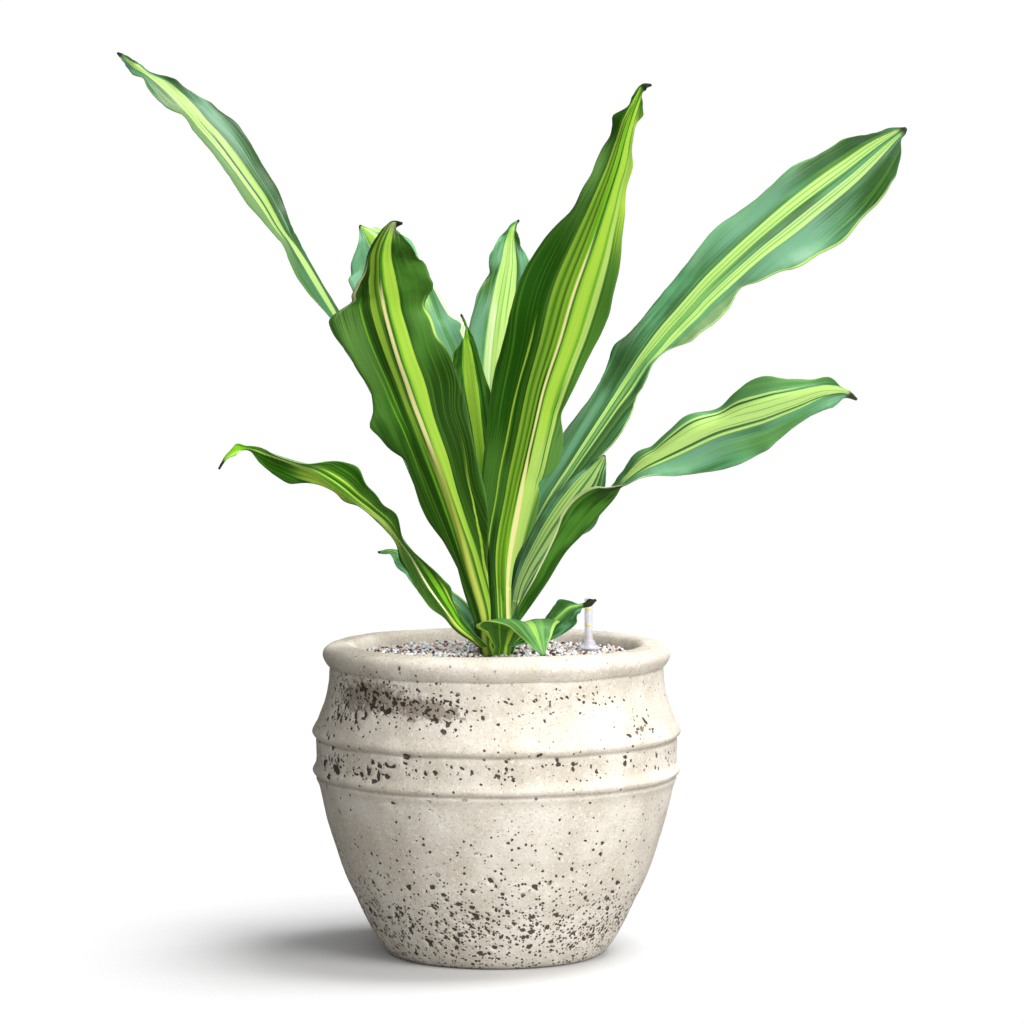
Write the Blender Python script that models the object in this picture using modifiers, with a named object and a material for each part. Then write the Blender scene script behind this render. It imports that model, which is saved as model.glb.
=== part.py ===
"""Potted corn plant: a striped, strap-leaved foliage plant in a turned stone-grey planter.

The plant stands in an inner grow pot filled with coarse grains, and a water-level gauge stands
beside it.  Metres, +Z up, origin at the centre of the planter's base.  The front is -Y.
"""
import math
import random
from typing import NamedTuple

import bmesh
import bpy
from mathutils import Matrix, Vector
from mathutils.geometry import delaunay_2d_cdt

MM = 0.001
GAP = 0.3 * MM

# Planter: a thick turned bowl with a broad rolled lip and two beads round its belly
PLANTER_HEIGHT = 220.5 * MM
PLANTER_FLOOR = 18.0 * MM
BASE_RADIUS = 68.0 * MM
MOUTH_RADIUS = 100.0 * MM
LIP_RADIUS = 122.6 * MM
NECK_RADIUS = 118.0 * MM
BELLY_RADIUS = 127.8 * MM
BEAD_HEIGHTS = (158.5 * MM, 131.5 * MM)
BEAD_OUT = 2.2 * MM
BEAD_HALF = 4.5 * MM
PLANTER_STEPS = 56

# Inner grow pot: a thin tapered cup whose flange hangs just inside the planter's mouth
CUP_BOTTOM = PLANTER_FLOOR + GAP
CUP_TOP = 187.0 * MM
CUP_WALL = 2.0 * MM
CUP_FOOT_RADIUS = 77.5 * MM
CUP_RIM_RADIUS = 91.0 * MM
FLANGE_RADIUS = 98.4 * MM
SLOT_COUNT = 6
SLOT_SIZE = (8.0 * MM, 3.0 * MM, 12.0 * MM)
CUP_STEPS = 40

# Grains: the fill of the grow pot and the layer that covers its flange
GRAIN_SURFACE = 211.0 * MM
GRAIN_LAYER_RADIUS = 98.8 * MM
GRAIN_PITCH = 5.6 * MM
GRAIN_RISE = (1.2 * MM, 2.2 * MM)
GRAIN_DIP = (0.3 * MM, 0.9 * MM)
GRAIN_RIM_POINTS = 72

# Crown: the short stump of sheathing leaf bases that carries the leaves
CROWN_BOTTOM = 182.0 * MM
CROWN_TOP = 230.0 * MM
CROWN_FOOT_RADIUS = 10.6 * MM
CROWN_SIDE_RADIUS = 15.5 * MM
CROWN_DEPTH_RADIUS = 13.0 * MM
CROWN_RIDGES = 7
CROWN_RIDGE = 0.5 * MM

# Water-level gauge: clear tube, flared collar, and a float on a thin stem with a bright tip
GAUGE_AXIS = (65.5 * MM, 25.0 * MM)
TUBE_RADIUS = 3.0 * MM
TUBE_WALL = 0.7 * MM
TUBE_BOTTOM = 24.0 * MM
TUBE_TOP = 250.0 * MM
COLLAR_RADIUS = 8.5 * MM
COLLAR_SLEEVE_RADIUS = 4.2 * MM
COLLAR_BOTTOM = 200.0 * MM
COLLAR_FLARE = 213.6 * MM
COLLAR_TOP = 220.0 * MM
FLOAT_RADIUS = 1.9 * MM
FLOAT_LENGTH = 40.0 * MM
STEM_RADIUS = 0.7 * MM
TIP_RADIUS = 1.6 * MM
TIP_BOTTOM = 215.0 * MM
TIP_TOP = 219.0 * MM

# Leaves: blade thickness, and how far each half bows out between rib and margin
BLADE = 0.9 * MM
BLADE_BOW = 0.08
ROWS_PER_STATION = 2
COLUMNS_PER_HALF = 2


class Leaf(NamedTuple):
    """One leaf blade, in millimetres.

    Each station holds the rib's x, y, z, the half widths seen from the front to the left and the
    right of the growing direction, and how far the left and the right margin lie behind the rib.
    A wave is the depth of the margins' ripple, its count, and its phase on the left and right.
    A drooping leaf that grows towards or away from the front gives its crosswise direction.
    """

    name: str
    wave: tuple
    stations: tuple
    across: tuple = ()


LEAVES = (
    Leaf("leaf_far_left", (3.0, 7, 0.0, 0.5), (
        (-6, 9, 232.2, 4, 4, 0, 0),
        (-22, 14, 279, 8, 8, -2, 3),
        (-52, 22, 342, 9, 9, -6, 6),
        (-83, 32, 399, 7, 7, -10, 10),
        (-104, 38, 432, 4, 4, -13, 13),
        (-116, 42, 455, 5, 2, -15, 15),
        (-141, 52, 496, 8, 3, -17, 17),
        (-155, 57, 512, 6, 6, -18, 17),
        (-171, 62, 538, 10, 11, -18, 17),
        (-193, 69, 566, 8, 13, -17, 17),
        (-213, 74, 586, 6, 14, -16, 15),
        (-229, 78, 603, 9, 11, -13, 11),
        (-247, 82, 620, 8, 4, -9, 7),
        (-260, 84, 629, 6, 2.5, -3, 2),
        (-267, 84, 634, 3, 2, 0, 0),
        (-273, 84, 638, 0.8, 0.8, 0, 0),
    )),
    Leaf("leaf_front_left", (3.0, 5, 0.0, 0.4), (
        (-9, -8, 231.1, 5, 5, 1, 1),
        (-11, -11, 243, 7, 7, 2, 1),
        (-20, -18, 276, 10, 14, 4, -2),
        (-28, -28, 311, 18, 23, 7, -4),
        (-39, -40, 346, 20, 27, 8, -2),
        (-53, -53, 380, 30, 34, 10, 4),
        (-62, -65, 410, 26, 33, 10, 8),
        (-69, -74, 431, 30, 31, 10, 10),
        (-76, -84, 457, 38, 29, 8, 12),
        (-78, -90, 469, 22, 32, 12, 12),
        (-79, -96, 481, 12, 33, 12, 10),
        (-79, -103, 495, 9, 27, 8, 8),
        (-76, -108, 506, 7, 16, 4, 5),
        (-70, -111, 516, 3, 5, 1, 2),
        (-63, -112, 516, 0.8, 0.8, 0, 0),
    )),
    Leaf("leaf_back_left", (3.0, 5, 0.3, 0.0), (
        (-3, 4, 231.3, 4, 4, 0, 0),
        (-9, 9, 279, 10, 10, -1, 1),
        (-24, 22, 349, 21, 20, -3, 3),
        (-42, 38, 412, 27, 27, -4, 6),
        (-51, 45, 431, 28, 27, -4, 8),
        (-58, 51, 451, 31, 21, -3, 9),
        (-69, 62, 479, 36, 19, -3, 8),
        (-79, 69, 497, 33, 15, -3, 6),
        (-88, 74, 506, 22, 8, -2, 4),
        (-94, 76, 511, 9, 4, -1, 2),
        (-99, 77, 514, 0.8, 0.8, 0, 0),
    )),
    Leaf("leaf_young_centre", (1.0, 4, 0.0, 0.5), (
        (0, -1, 231, 4, 4, 0, 0),
        (-3, 0, 293, 9, 9, -1, -1),
        (-9, 1, 349, 14, 14, -2, -2),
        (-14, 2, 392, 17, 12, -2, -2),
        (-17, 3, 414, 16, 12, -2, -2),
        (-19, 3, 427, 11, 8, -1, -1),
        (-21, 2, 437, 3, 5, 0, 0),
        (-21, 2, 443, 1, 1, 0, 0),
        (-25, 2, 452, 0.8, 0.8, 0, 0),
    )),
    Leaf("leaf_back_centre", (3.0, 5, 0.2, 0.7), (
        (3, 11.3, 231, 3, 3, 0, 0),
        (1, 25, 293, 11, 12, -1, -1),
        (-2, 42, 357, 20, 20, -3, -3),
        (-1, 56, 411, 22, 24, -4, -4),
        (2, 66, 444, 21, 24, -4, -4),
        (5, 73, 469, 15, 24, -4, -4),
        (7, 78, 489, 12, 18, -3, -3),
        (10, 81, 504, 8, 7, -1, -1),
        (12, 83, 513, 2, 2, 0, 0),
        (16, 83, 518, 0.8, 0.8, 0, 0),
    )),
    Leaf("leaf_front_right", (3.0, 5, 0.5, 0.1), (
        (5, -8, 231, 4, 4, 1, 1),
        (6, -14, 281, 11, 7, 3, 3),
        (15, -23, 327, 26, 16, 9, 6),
        (24, -34, 363, 32, 21, 12, 8),
        (32, -47, 400, 35, 19, 13, 9),
        (43, -60, 435, 37, 23, 13, 10),
        (52, -73, 468, 36, 26, 13, 11),
        (66, -87, 507, 27, 20, 10, 9),
        (79, -100, 548, 15, 12, 6, 6),
        (88, -108, 580, 10, 6, 4, 3),
        (95, -112, 598, 5, 4, 1, 1),
        (100, -113, 608, 2, 2, 0, 0),
        (105, -113, 609, 0.8, 0.8, 0, 0),
    )),
    Leaf("leaf_upper_right", (3.0, 6, 0.2, 0.6), (
        (9, 6.5, 231.3, 4, 4, 0, 0),
        (16, 13, 280, 9, 9, 1, -1),
        (33, 26, 317, 11, 12, 2, -2),
        (52, 38, 346, 15, 14, 4, -4),
        (80, 56, 387, 13, 18, 7, -6),
        (92, 64, 404, 15, 15, 8, -7),
        (104, 70, 421, 16, 10, 9, -8),
        (120, 78, 442, 15, 16, 10, -9),
        (137, 85, 460, 16, 25, 11, -9),
        (154, 92, 475, 20, 25, 12, -10),
        (188, 106, 504, 22, 28, 12, -10),
        (214, 115, 523, 22, 36, 12, -9),
        (240, 123, 540, 23, 38, 10, -8),
        (266, 131, 558, 19, 28, 8, -6),
        (285, 136, 572, 12, 15, 4, -3),
        (300, 138, 585, 1, 1, 0, 0),
    )),
    Leaf("leaf_lower_right", (2.5, 6, 0.2, 0.6), (
        (12, -5, 232.4, 3, 3, 1, -1),
        (19, -10, 242, 6, -5, 4, -4),
        (34, -16, 264, 9, -9, 8, -8),
        (48, -22, 287, 5, -12, 12, -9),
        (60, -27, 300, 7, -20, 14, -10),
        (72, -32, 314, 7, -21, 15, -12),
        (82, -36, 326, 6, -14, 16, -16),
        (88, -38, 336, 3, 1, 16, -18),
        (99, -41, 346, 8, 6, 16, -17),
        (112, -45, 356, 11, 16, 15, -14),
        (138, -52, 371, 14, 29, 12, -9),
        (161, -57, 381, 12, 31, 12, -8),
        (182, -61, 391, 17, 28, 10, -7),
        (208, -65, 398, 11, 17, 7, -5),
        (228, -68, 402, 9, 9, 3, -3),
        (240, -69, 401, 2.5, 4, 0, 0),
        (248, -70, 395, 0.8, 0.8, 0, 0),
    )),
    Leaf("leaf_lower_left", (2.0, 5, 0.2, 0.6), (
        (-12.7, -7.9, 221, 2, 2.5, 3, -3),
        (-27, -14, 232, 3, 6, 3, -2),
        (-37, -20, 245, 3, 9, 5, -4),
        (-49, -27, 262, 7, 13, 8, -8),
        (-64, -35, 290, 4, 5, 14, -16),
        (-79, -42, 308, 3, 13, 15, -14),
        (-97, -48, 322, 2, 15, 16, -13),
        (-116, -54, 337, 5, 18, 15, -11),
        (-133, -59, 348, 11, 5, 13, -13),
        (-151, -63, 355, 12, 2, 9, -9),
        (-160, -65, 358, 8, 4, 5, -5),
        (-169, -66, 361, 2, 2, 2, -2),
        (-177, -67, 361, 1.5, 1.5, 0, 0),
        (-185, -67, 356, 1.2, 1.2, 0, 0),
        (-191, -67, 347, 0.8, 0.8, 0, 0),
    )),
    Leaf("leaf_low_back_left", (1.0, 3, 0.0, 0.5), (
        (-12.9, 7.9, 222, 2, 2, -3, 3),
        (-25, 14, 239, 6, 8, -3, 4),
        (-40, 20, 253, 7, 6, -5, 6),
        (-54, 27, 265, 8, 4, -6, 8),
        (-65, 33, 275, 8, 3, -6, 8),
        (-74, 38, 281, 3, 2, -3, 3),
        (-85, 42, 281, 0.8, 0.8, 0, 0),
    )),
    Leaf("leaf_short_right", (1.5, 3, 0.0, 0.5), (
        (11, 2, 231.6, 4, 4, 0, 0),
        (18, 5, 262, 6, 8, 0, 0),
        (34, 10, 291, 11, 14, 2, -2),
        (52, 17, 317, 12, 23, 4, -3),
        (66, 25, 335, 8, 13, 4, -3),
        (73, 31, 345, 4, 6, 2, -2),
        (77, 33, 351, 0.8, 0.8, 0, 0),
    )),
    Leaf("leaf_short_front", (1.0, 2, 0.0, 0.5), (
        (7, -14, 225, 3, 5, 0, 0),
        (12, -24, 233, 26, 15, 3, 3),
        (19, -36, 238, 26, 25, 7, 7),
        (24, -45, 236, 17, 17, 5, 4),
        (28, -51, 229, 11, 10, 2, 1),
        (31, -54, 222, 6, 4, 0, 0),
        (33, -55, 216.5, 0.8, 0.8, 0, 0),
    ), (1, 0, 0)),
    Leaf("leaf_short_front_right", (1.0, 2, 0.0, 0.5), (
        (16.2, -4, 221, 1, 1.5, 3, -3),
        (25, -9, 226, 5, 5, 0, 0),
        (36, -13, 231, 6, 8, 2, -2),
        (45, -16, 240, 9, 11, 4, -3),
        (52, -18, 246, 6, 9, 3, -3),
        (58, -19, 248, 1.5, 3, 0, 0),
        (64, -20, 246, 1, 1.5, 0, 0),
        (70, -21, 250, 0.8, 0.8, 0, 0),
    )),
    Leaf("leaf_low_back", (1.5, 3, 0.0, 0.5), (
        (4, 14.1, 222, 4, 4, 0, 0),
        (8, 30, 238, 10, 12, 0, 0),
        (12, 55, 252, 14, 16, 0, 0),
        (17, 90, 266, 14, 14, 0, 0),
        (22, 125, 272, 9, 9, 0, 0),
        (26, 150, 268, 0.8, 0.8, 0, 0),
    ), (1, 0, 0)),
)


def clear_scene():
    """Remove the objects that the start-up file brings."""
    for obj in list(bpy.data.objects):
        bpy.data.objects.remove(obj, do_unlink=True)


def new_collection(name):
    """Return a new collection linked to the scene."""
    collection = bpy.data.collections.new(name)
    bpy.context.scene.collection.children.link(collection)
    return collection


def material(name, colour, roughness, alpha=1.0):
    """Return a plain Principled material."""
    mat = bpy.data.materials.new(name)
    mat.use_nodes = True
    shader = mat.node_tree.nodes["Principled BSDF"]
    shader.inputs["Base Color"].default_value = (*colour, 1.0)
    shader.inputs["Roughness"].default_value = roughness
    shader.inputs["Metallic"].default_value = 0.0
    shader.inputs["Alpha"].default_value = alpha
    return mat


def add_object(name, mesh, collection, mat=None):
    """Link a mesh as a named object."""
    obj = bpy.data.objects.new(name, mesh)
    collection.objects.link(obj)
    if mat:
        mesh.materials.append(mat)
    return obj


def mesh_from(name, points, edges=(), faces=()):
    """Return a mesh made from plain lists."""
    mesh = bpy.data.meshes.new(name)
    mesh.from_pydata([tuple(point) for point in points], list(edges), [tuple(face) for face in faces])
    return mesh


def turned(name, profile, steps, collection, mat):
    """Turn an open (radius, height) profile, outer side downwards, round the object's Z axis."""
    points = [(radius, 0.0, height) for radius, height in profile]
    edges = [(index, index + 1) for index in range(len(points) - 1)]
    obj = add_object(name, mesh_from(name, points, edges), collection, mat)
    screw = obj.modifiers.new("Turn", "SCREW")
    screw.steps = steps
    screw.render_steps = steps
    screw.use_merge_vertices = True
    screw.merge_threshold = 0.00005
    screw.use_smooth_shade = True
    return obj


def cylinder_cutter(name, radius, bottom, top, centre, cutters):
    """Add an upright cylinder that only cuts."""
    bm = bmesh.new()
    bmesh.ops.create_cone(bm, cap_ends=True, segments=32, radius1=radius, radius2=radius, depth=top - bottom)
    mesh = bpy.data.meshes.new(name)
    bm.to_mesh(mesh)
    bm.free()
    obj = add_object(name, mesh, cutters)
    obj.location = (centre[0], centre[1], (bottom + top) / 2)
    obj.hide_render = True
    obj.display_type = "WIRE"
    return obj


def boolean(obj, other, operation):
    """Add a Boolean modifier."""
    modifier = obj.modifiers.new(f"{operation.title()} {other.name}", "BOOLEAN")
    modifier.operation = operation
    modifier.solver = "EXACT"
    modifier.object = other


def arc(centre, radius, start, end, count):
    """Return points on a circle in the profile plane, angles in degrees from +radius."""
    points = []
    for index in range(count + 1):
        angle = math.radians(start + (end - start) * index / count)
        points.append((centre[0] + radius * math.cos(angle), centre[1] + radius * math.sin(angle)))
    return points


def planter_profile():
    """Return the planter's section: inner floor, inner wall, lip, outer wall with beads, foot."""
    inner = [(0.0, PLANTER_FLOOR), (79.0 * MM, PLANTER_FLOOR), (84.0 * MM, 23.0 * MM)]
    inner += [(94.0 * MM, 48.0 * MM), (107.0 * MM, 92.0 * MM), (113.0 * MM, 130.0 * MM)]
    inner += [(110.0 * MM, 160.0 * MM), (103.0 * MM, 182.0 * MM), (MOUTH_RADIUS, 192.0 * MM)]
    lip_inner = arc((MOUTH_RADIUS + 6.0 * MM, PLANTER_HEIGHT - 6.0 * MM), 6.0 * MM, 180, 90, 3)
    lip_outer = arc((LIP_RADIUS - 6.2 * MM, PLANTER_HEIGHT - 6.2 * MM), 6.2 * MM, 80, -40, 5)
    neck = [(NECK_RADIUS, 206.5 * MM), (NECK_RADIUS, 195.0 * MM), (119.5 * MM, 186.6 * MM)]
    neck += [(123.8 * MM, 172.4 * MM), (126.6 * MM, 165.0 * MM)]
    beads = []
    for height in BEAD_HEIGHTS:
        beads += [(BELLY_RADIUS, height + BEAD_HALF)]
        beads += arc((BELLY_RADIUS - 1.6 * MM, height), BEAD_OUT + 1.6 * MM, 48, -48, 4)
        beads += [(BELLY_RADIUS - 0.2 * MM, height - BEAD_HALF)]
    body = [(125.4 * MM, 120.5 * MM), (122.9 * MM, 108.3 * MM), (119.0 * MM, 93.0 * MM)]
    body += [(113.6 * MM, 76.0 * MM), (106.8 * MM, 56.5 * MM), (97.6 * MM, 36.9 * MM)]
    body += [(90.0 * MM, 21.0 * MM), (84.0 * MM, 10.8 * MM), (78.6 * MM, 3.6 * MM)]
    foot = [(74.5 * MM, 0.9 * MM), (BASE_RADIUS, 0.0), (0.0, 0.0)]
    return inner + lip_inner + lip_outer + neck + beads + body + foot


def cup_profile():
    """Return the grow pot's section with its flange."""
    inner_foot = CUP_FOOT_RADIUS - CUP_WALL
    inner_rim = CUP_RIM_RADIUS - CUP_WALL
    floor = CUP_BOTTOM + CUP_WALL
    section = [(0.0, floor), (inner_foot, floor), (inner_rim, CUP_TOP), (FLANGE_RADIUS, CUP_TOP)]
    section += [(FLANGE_RADIUS, CUP_TOP - CUP_WALL), (CUP_RIM_RADIUS, CUP_TOP - CUP_WALL)]
    section += [(CUP_FOOT_RADIUS, CUP_BOTTOM), (0.0, CUP_BOTTOM)]
    return section


def cup_radius(height):
    """Return the grow pot's inner radius at a height."""
    share = (height - CUP_BOTTOM - CUP_WALL) / (CUP_TOP - CUP_BOTTOM - CUP_WALL)
    return CUP_FOOT_RADIUS - CUP_WALL + share * (CUP_RIM_RADIUS - CUP_FOOT_RADIUS)


def build_planter(parts):
    """Build the turned planter."""
    mat = material("stone_grey", (0.66, 0.60, 0.53), 0.9)
    turned("planter", planter_profile(), PLANTER_STEPS, parts, mat)


def build_culture_pot(parts, cutters):
    """Build the grow pot, with water slots through its wall just above the floor."""
    mat = material("grow_pot_black", (0.04, 0.04, 0.045), 0.6)
    cup = turned("culture_pot", cup_profile(), CUP_STEPS, parts, mat)
    bm = bmesh.new()
    for index in range(SLOT_COUNT):
        angle = 2 * math.pi * (index + 0.5) / SLOT_COUNT
        made = bmesh.ops.create_cube(bm, size=1.0)
        bmesh.ops.scale(bm, vec=SLOT_SIZE, verts=made["verts"])
        height = CUP_BOTTOM + CUP_WALL + 3.0 * MM + SLOT_SIZE[2] / 2
        middle = cup_radius(height) + CUP_WALL / 2
        bmesh.ops.translate(bm, vec=(middle, 0.0, height), verts=made["verts"])
        bmesh.ops.rotate(bm, cent=(0, 0, 0), matrix=Matrix.Rotation(angle, 3, "Z"), verts=made["verts"])
    mesh = bpy.data.meshes.new("water_slots")
    bm.to_mesh(mesh)
    bm.free()
    slots = add_object("water_slots", mesh, cutters)
    slots.hide_render = True
    slots.display_type = "WIRE"
    boolean(cup, slots, "DIFFERENCE")


def grain_layer_mesh(rng):
    """Return the top layer of grains as a closed disc whose surface rises to a peak on each grain."""
    points = []
    heights = []
    rows = int(GRAIN_LAYER_RADIUS / (GRAIN_PITCH * 0.866)) + 1
    columns = int(GRAIN_LAYER_RADIUS / GRAIN_PITCH) + rows
    limit = GRAIN_LAYER_RADIUS - 0.45 * GRAIN_PITCH
    for row in range(-rows, rows + 1):
        for column in range(-columns, columns + 1):
            x = (column + 0.5 * row) * GRAIN_PITCH + rng.uniform(-0.16, 0.16) * GRAIN_PITCH
            y = row * 0.866 * GRAIN_PITCH + rng.uniform(-0.16, 0.16) * GRAIN_PITCH
            if math.hypot(x, y) > limit:
                continue
            points.append((x, y))
            if (column - row) % 3 == 0:
                heights.append(GRAIN_SURFACE + rng.uniform(*GRAIN_RISE))
            else:
                heights.append(GRAIN_SURFACE - rng.uniform(*GRAIN_DIP))
    rim = []
    for index in range(GRAIN_RIM_POINTS):
        angle = 2 * math.pi * index / GRAIN_RIM_POINTS
        rim.append(len(points))
        points.append((GRAIN_LAYER_RADIUS * math.cos(angle), GRAIN_LAYER_RADIUS * math.sin(angle)))
        heights.append(GRAIN_SURFACE)
    flat = [Vector(point) for point in points]
    outline, _, faces, _, _, _ = delaunay_2d_cdt(flat, [], [rim], 1, 0.00001)
    bm = bmesh.new()
    verts = [bm.verts.new((point.x, point.y, heights[index])) for index, point in enumerate(outline)]
    for face in faces:
        bm.faces.new([verts[index] for index in face])
    bottom_ring = [bm.verts.new((points[i][0], points[i][1], CUP_TOP + GAP)) for i in rim]
    count = len(rim)
    for index in range(count):
        follower = (index + 1) % count
        quad = (verts[rim[index]], verts[rim[follower]], bottom_ring[follower], bottom_ring[index])
        bm.faces.new(quad)
    bm.faces.new(list(reversed(bottom_ring)))
    bmesh.ops.triangulate(bm, faces=bm.faces[:])
    bmesh.ops.recalc_face_normals(bm, faces=bm.faces[:])
    mesh = bpy.data.meshes.new("granules")
    bm.to_mesh(mesh)
    bm.free()
    return mesh


def build_granules(parts, cutters):
    """Build the grains: covering layer joined to the fill, with room for crown and gauge."""
    mat = material("mineral_grains", (0.72, 0.66, 0.62), 0.9)
    layer = add_object("granules", grain_layer_mesh(random.Random(11)), parts, mat)
    floor = CUP_BOTTOM + CUP_WALL + GAP
    seat = CUP_TOP + 3.0 * MM
    bm = bmesh.new()
    bottom_radius = cup_radius(floor) - GAP
    top_radius = cup_radius(seat) - 2 * GAP
    bmesh.ops.create_cone(bm, cap_ends=True, segments=CUP_STEPS, radius1=bottom_radius,
                          radius2=top_radius, depth=seat - floor)
    mesh = bpy.data.meshes.new("grain_fill")
    bm.to_mesh(mesh)
    bm.free()
    fill = add_object("grain_fill", mesh, cutters)
    fill.location = (0.0, 0.0, (floor + seat) / 2)
    fill.rotation_euler = (0.0, 0.0, math.pi / CUP_STEPS)
    fill.hide_render = True
    fill.display_type = "WIRE"
    boolean(layer, fill, "UNION")
    above = GRAIN_SURFACE + 10.0 * MM
    pocket = cylinder_cutter("crown_pocket", CROWN_FOOT_RADIUS + CROWN_RIDGE + GAP, CROWN_BOTTOM - GAP,
                             above, (0.0, 0.0), cutters)
    boolean(layer, pocket, "DIFFERENCE")
    sleeve = cylinder_cutter("sleeve_hole", COLLAR_SLEEVE_RADIUS + GAP, COLLAR_BOTTOM - GAP,
                             above, GAUGE_AXIS, cutters)
    boolean(layer, sleeve, "DIFFERENCE")
    bore = cylinder_cutter("tube_hole", TUBE_RADIUS + GAP, 0.0, above, GAUGE_AXIS, cutters)
    boolean(layer, bore, "DIFFERENCE")


def build_crown(parts):
    """Build the stump of overlapping leaf bases, ridged where one sheath laps the next."""
    mat = material("sheath_green", (0.10, 0.24, 0.06), 0.5)
    rings = ((CROWN_BOTTOM, 0.0), (205.0 * MM, 0.0), (213.5 * MM, 0.0), (217.0 * MM, 0.4),
             (221.0 * MM, 0.75), (226.0 * MM, 1.0), (CROWN_TOP - 1.0 * MM, 1.0), (CROWN_TOP, 0.9))
    segments = 42
    points = []
    for height, flare in rings:
        for index in range(segments):
            angle = 2 * math.pi * index / segments
            side = CROWN_FOOT_RADIUS + flare * (CROWN_SIDE_RADIUS - CROWN_FOOT_RADIUS)
            depth = CROWN_FOOT_RADIUS + flare * (CROWN_DEPTH_RADIUS - CROWN_FOOT_RADIUS)
            ridge = CROWN_RIDGE * math.cos(CROWN_RIDGES * angle + 40.0 * height)
            points.append(((side + ridge) * math.cos(angle), (depth + ridge) * math.sin(angle), height))
    faces = []
    for ring in range(len(rings) - 1):
        for index in range(segments):
            follower = (index + 1) % segments
            low = ring * segments
            high = low + segments
            faces.append((low + index, low + follower, high + follower, high + index))
    faces.append(tuple(reversed(range(segments))))
    faces.append(tuple(range((len(rings) - 1) * segments, len(rings) * segments)))
    crown = add_object("crown", mesh_from("crown", points, faces=faces), parts, mat)
    crown.data.shade_smooth()
    crown.data.set_sharp_from_angle(angle=math.radians(50))


def build_gauge(parts):
    """Build the water-level gauge: tube, collar and float."""
    clear = material("clear_plastic", (0.86, 0.88, 0.92), 0.1, alpha=0.35)
    inner = TUBE_RADIUS - TUBE_WALL
    section = [(0.0, TUBE_TOP), (TUBE_RADIUS - 0.5 * MM, TUBE_TOP), (TUBE_RADIUS, TUBE_TOP - 0.5 * MM)]
    section += [(TUBE_RADIUS, TUBE_BOTTOM), (inner, TUBE_BOTTOM)]
    section += [(inner, TUBE_TOP - TUBE_WALL), (0.0, TUBE_TOP - TUBE_WALL)]
    tube = turned("gauge_tube", section, 24, parts, clear)
    bore = TUBE_RADIUS + GAP
    section = [(bore, COLLAR_BOTTOM), (bore, COLLAR_TOP), (bore + 0.8 * MM, COLLAR_TOP)]
    section += [(bore + 1.4 * MM, COLLAR_TOP - 2.5 * MM), (COLLAR_RADIUS, COLLAR_FLARE + 1.0 * MM)]
    section += [(COLLAR_RADIUS, COLLAR_FLARE), (COLLAR_SLEEVE_RADIUS, COLLAR_FLARE)]
    section += [(COLLAR_SLEEVE_RADIUS, COLLAR_BOTTOM), (bore, COLLAR_BOTTOM)]
    collar = turned("gauge_collar", section, 28, parts, clear)
    bottom = CUP_BOTTOM + CUP_WALL + GAP
    red = material("float_red", (0.75, 0.10, 0.04), 0.35)
    section = [(0.0, TIP_TOP), (TIP_RADIUS, TIP_TOP), (TIP_RADIUS, TIP_BOTTOM), (STEM_RADIUS, TIP_BOTTOM)]
    section += [(STEM_RADIUS, bottom + FLOAT_LENGTH), (FLOAT_RADIUS, bottom + FLOAT_LENGTH)]
    section += [(FLOAT_RADIUS, bottom), (0.0, bottom)]
    indicator = turned("gauge_float", section, 20, parts, red)
    for piece in (tube, collar, indicator):
        piece.location = (GAUGE_AXIS[0], GAUGE_AXIS[1], 0.0)


def smooth_stations(stations):
    """Return rows along a leaf: a smooth curve through its stations, each value alike."""
    reach = []
    for first, second in zip(stations, stations[1:]):
        reach.append(math.sqrt(math.dist(first[:3], second[:3])))
    slopes = [[(b - a) / span for a, b in zip(first, second)]
              for first, second, span in zip(stations, stations[1:], reach)]
    tangents = [slopes[0]]
    for index in range(1, len(slopes)):
        before, after = reach[index - 1], reach[index]
        pairs = zip(slopes[index - 1], slopes[index])
        tangents.append([(a * after + b * before) / (before + after) for a, b in pairs])
    tangents.append(slopes[-1])
    rows = []
    for index, span in enumerate(reach):
        for step in range(ROWS_PER_STATION):
            rows.append(hermite(stations, tangents, index, span, step / ROWS_PER_STATION))
    rows.append([float(value) for value in stations[-1]])
    return rows


def hermite(stations, tangents, index, span, u):
    """Return one row between two stations."""
    start = 2 * u ** 3 - 3 * u ** 2 + 1
    leave = (u ** 3 - 2 * u ** 2 + u) * span
    arrive = (u ** 3 - u ** 2) * span
    near = zip(stations[index], tangents[index])
    far = zip(stations[index + 1], tangents[index + 1])
    row = []
    for (a, slope_a), (b, slope_b) in zip(near, far):
        row.append(start * a + leave * slope_a + (1 - start) * b + arrive * slope_b)
    return row


def leaf_grid(leaf):
    """Return the leaf's midsurface as rows of points, left margin to right margin."""
    rows = smooth_stations(leaf.stations)
    ribs = [Vector(row[:3]) for row in rows]
    last = len(rows) - 1
    depth, count, left_phase, right_phase = leaf.wave
    grid = []
    for index, row in enumerate(rows):
        growth = (ribs[min(index + 1, last)] - ribs[max(index - 1, 0)]).normalized()
        across = Vector(leaf.across) if leaf.across else Vector((growth.z, 0.0, -growth.x)).normalized()
        along = index / last
        envelope = min(max((along - 0.15) / 0.25, 0.0), 1.0) * min((1.0 - along) / 0.12, 1.0)
        left_wave = depth * envelope * math.sin(2 * math.pi * (count * along + left_phase))
        right_wave = depth * envelope * math.sin(2 * math.pi * (count * along + right_phase))
        left = Vector((0, row[5] + left_wave, 0)) - across * row[3]
        right = Vector((0, row[6] + right_wave, 0)) + across * row[4]
        normal = growth.cross(right - left).normalized()
        line = []
        for column in range(-COLUMNS_PER_HALF, COLUMNS_PER_HALF + 1):
            share = abs(column) / COLUMNS_PER_HALF
            margin = left if column < 0 else right
            bow = BLADE_BOW * margin.length * 4 * share * (1 - share)
            line.append((ribs[index] + margin * share + normal * bow) * MM)
        grid.append(line)
    return grid


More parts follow.
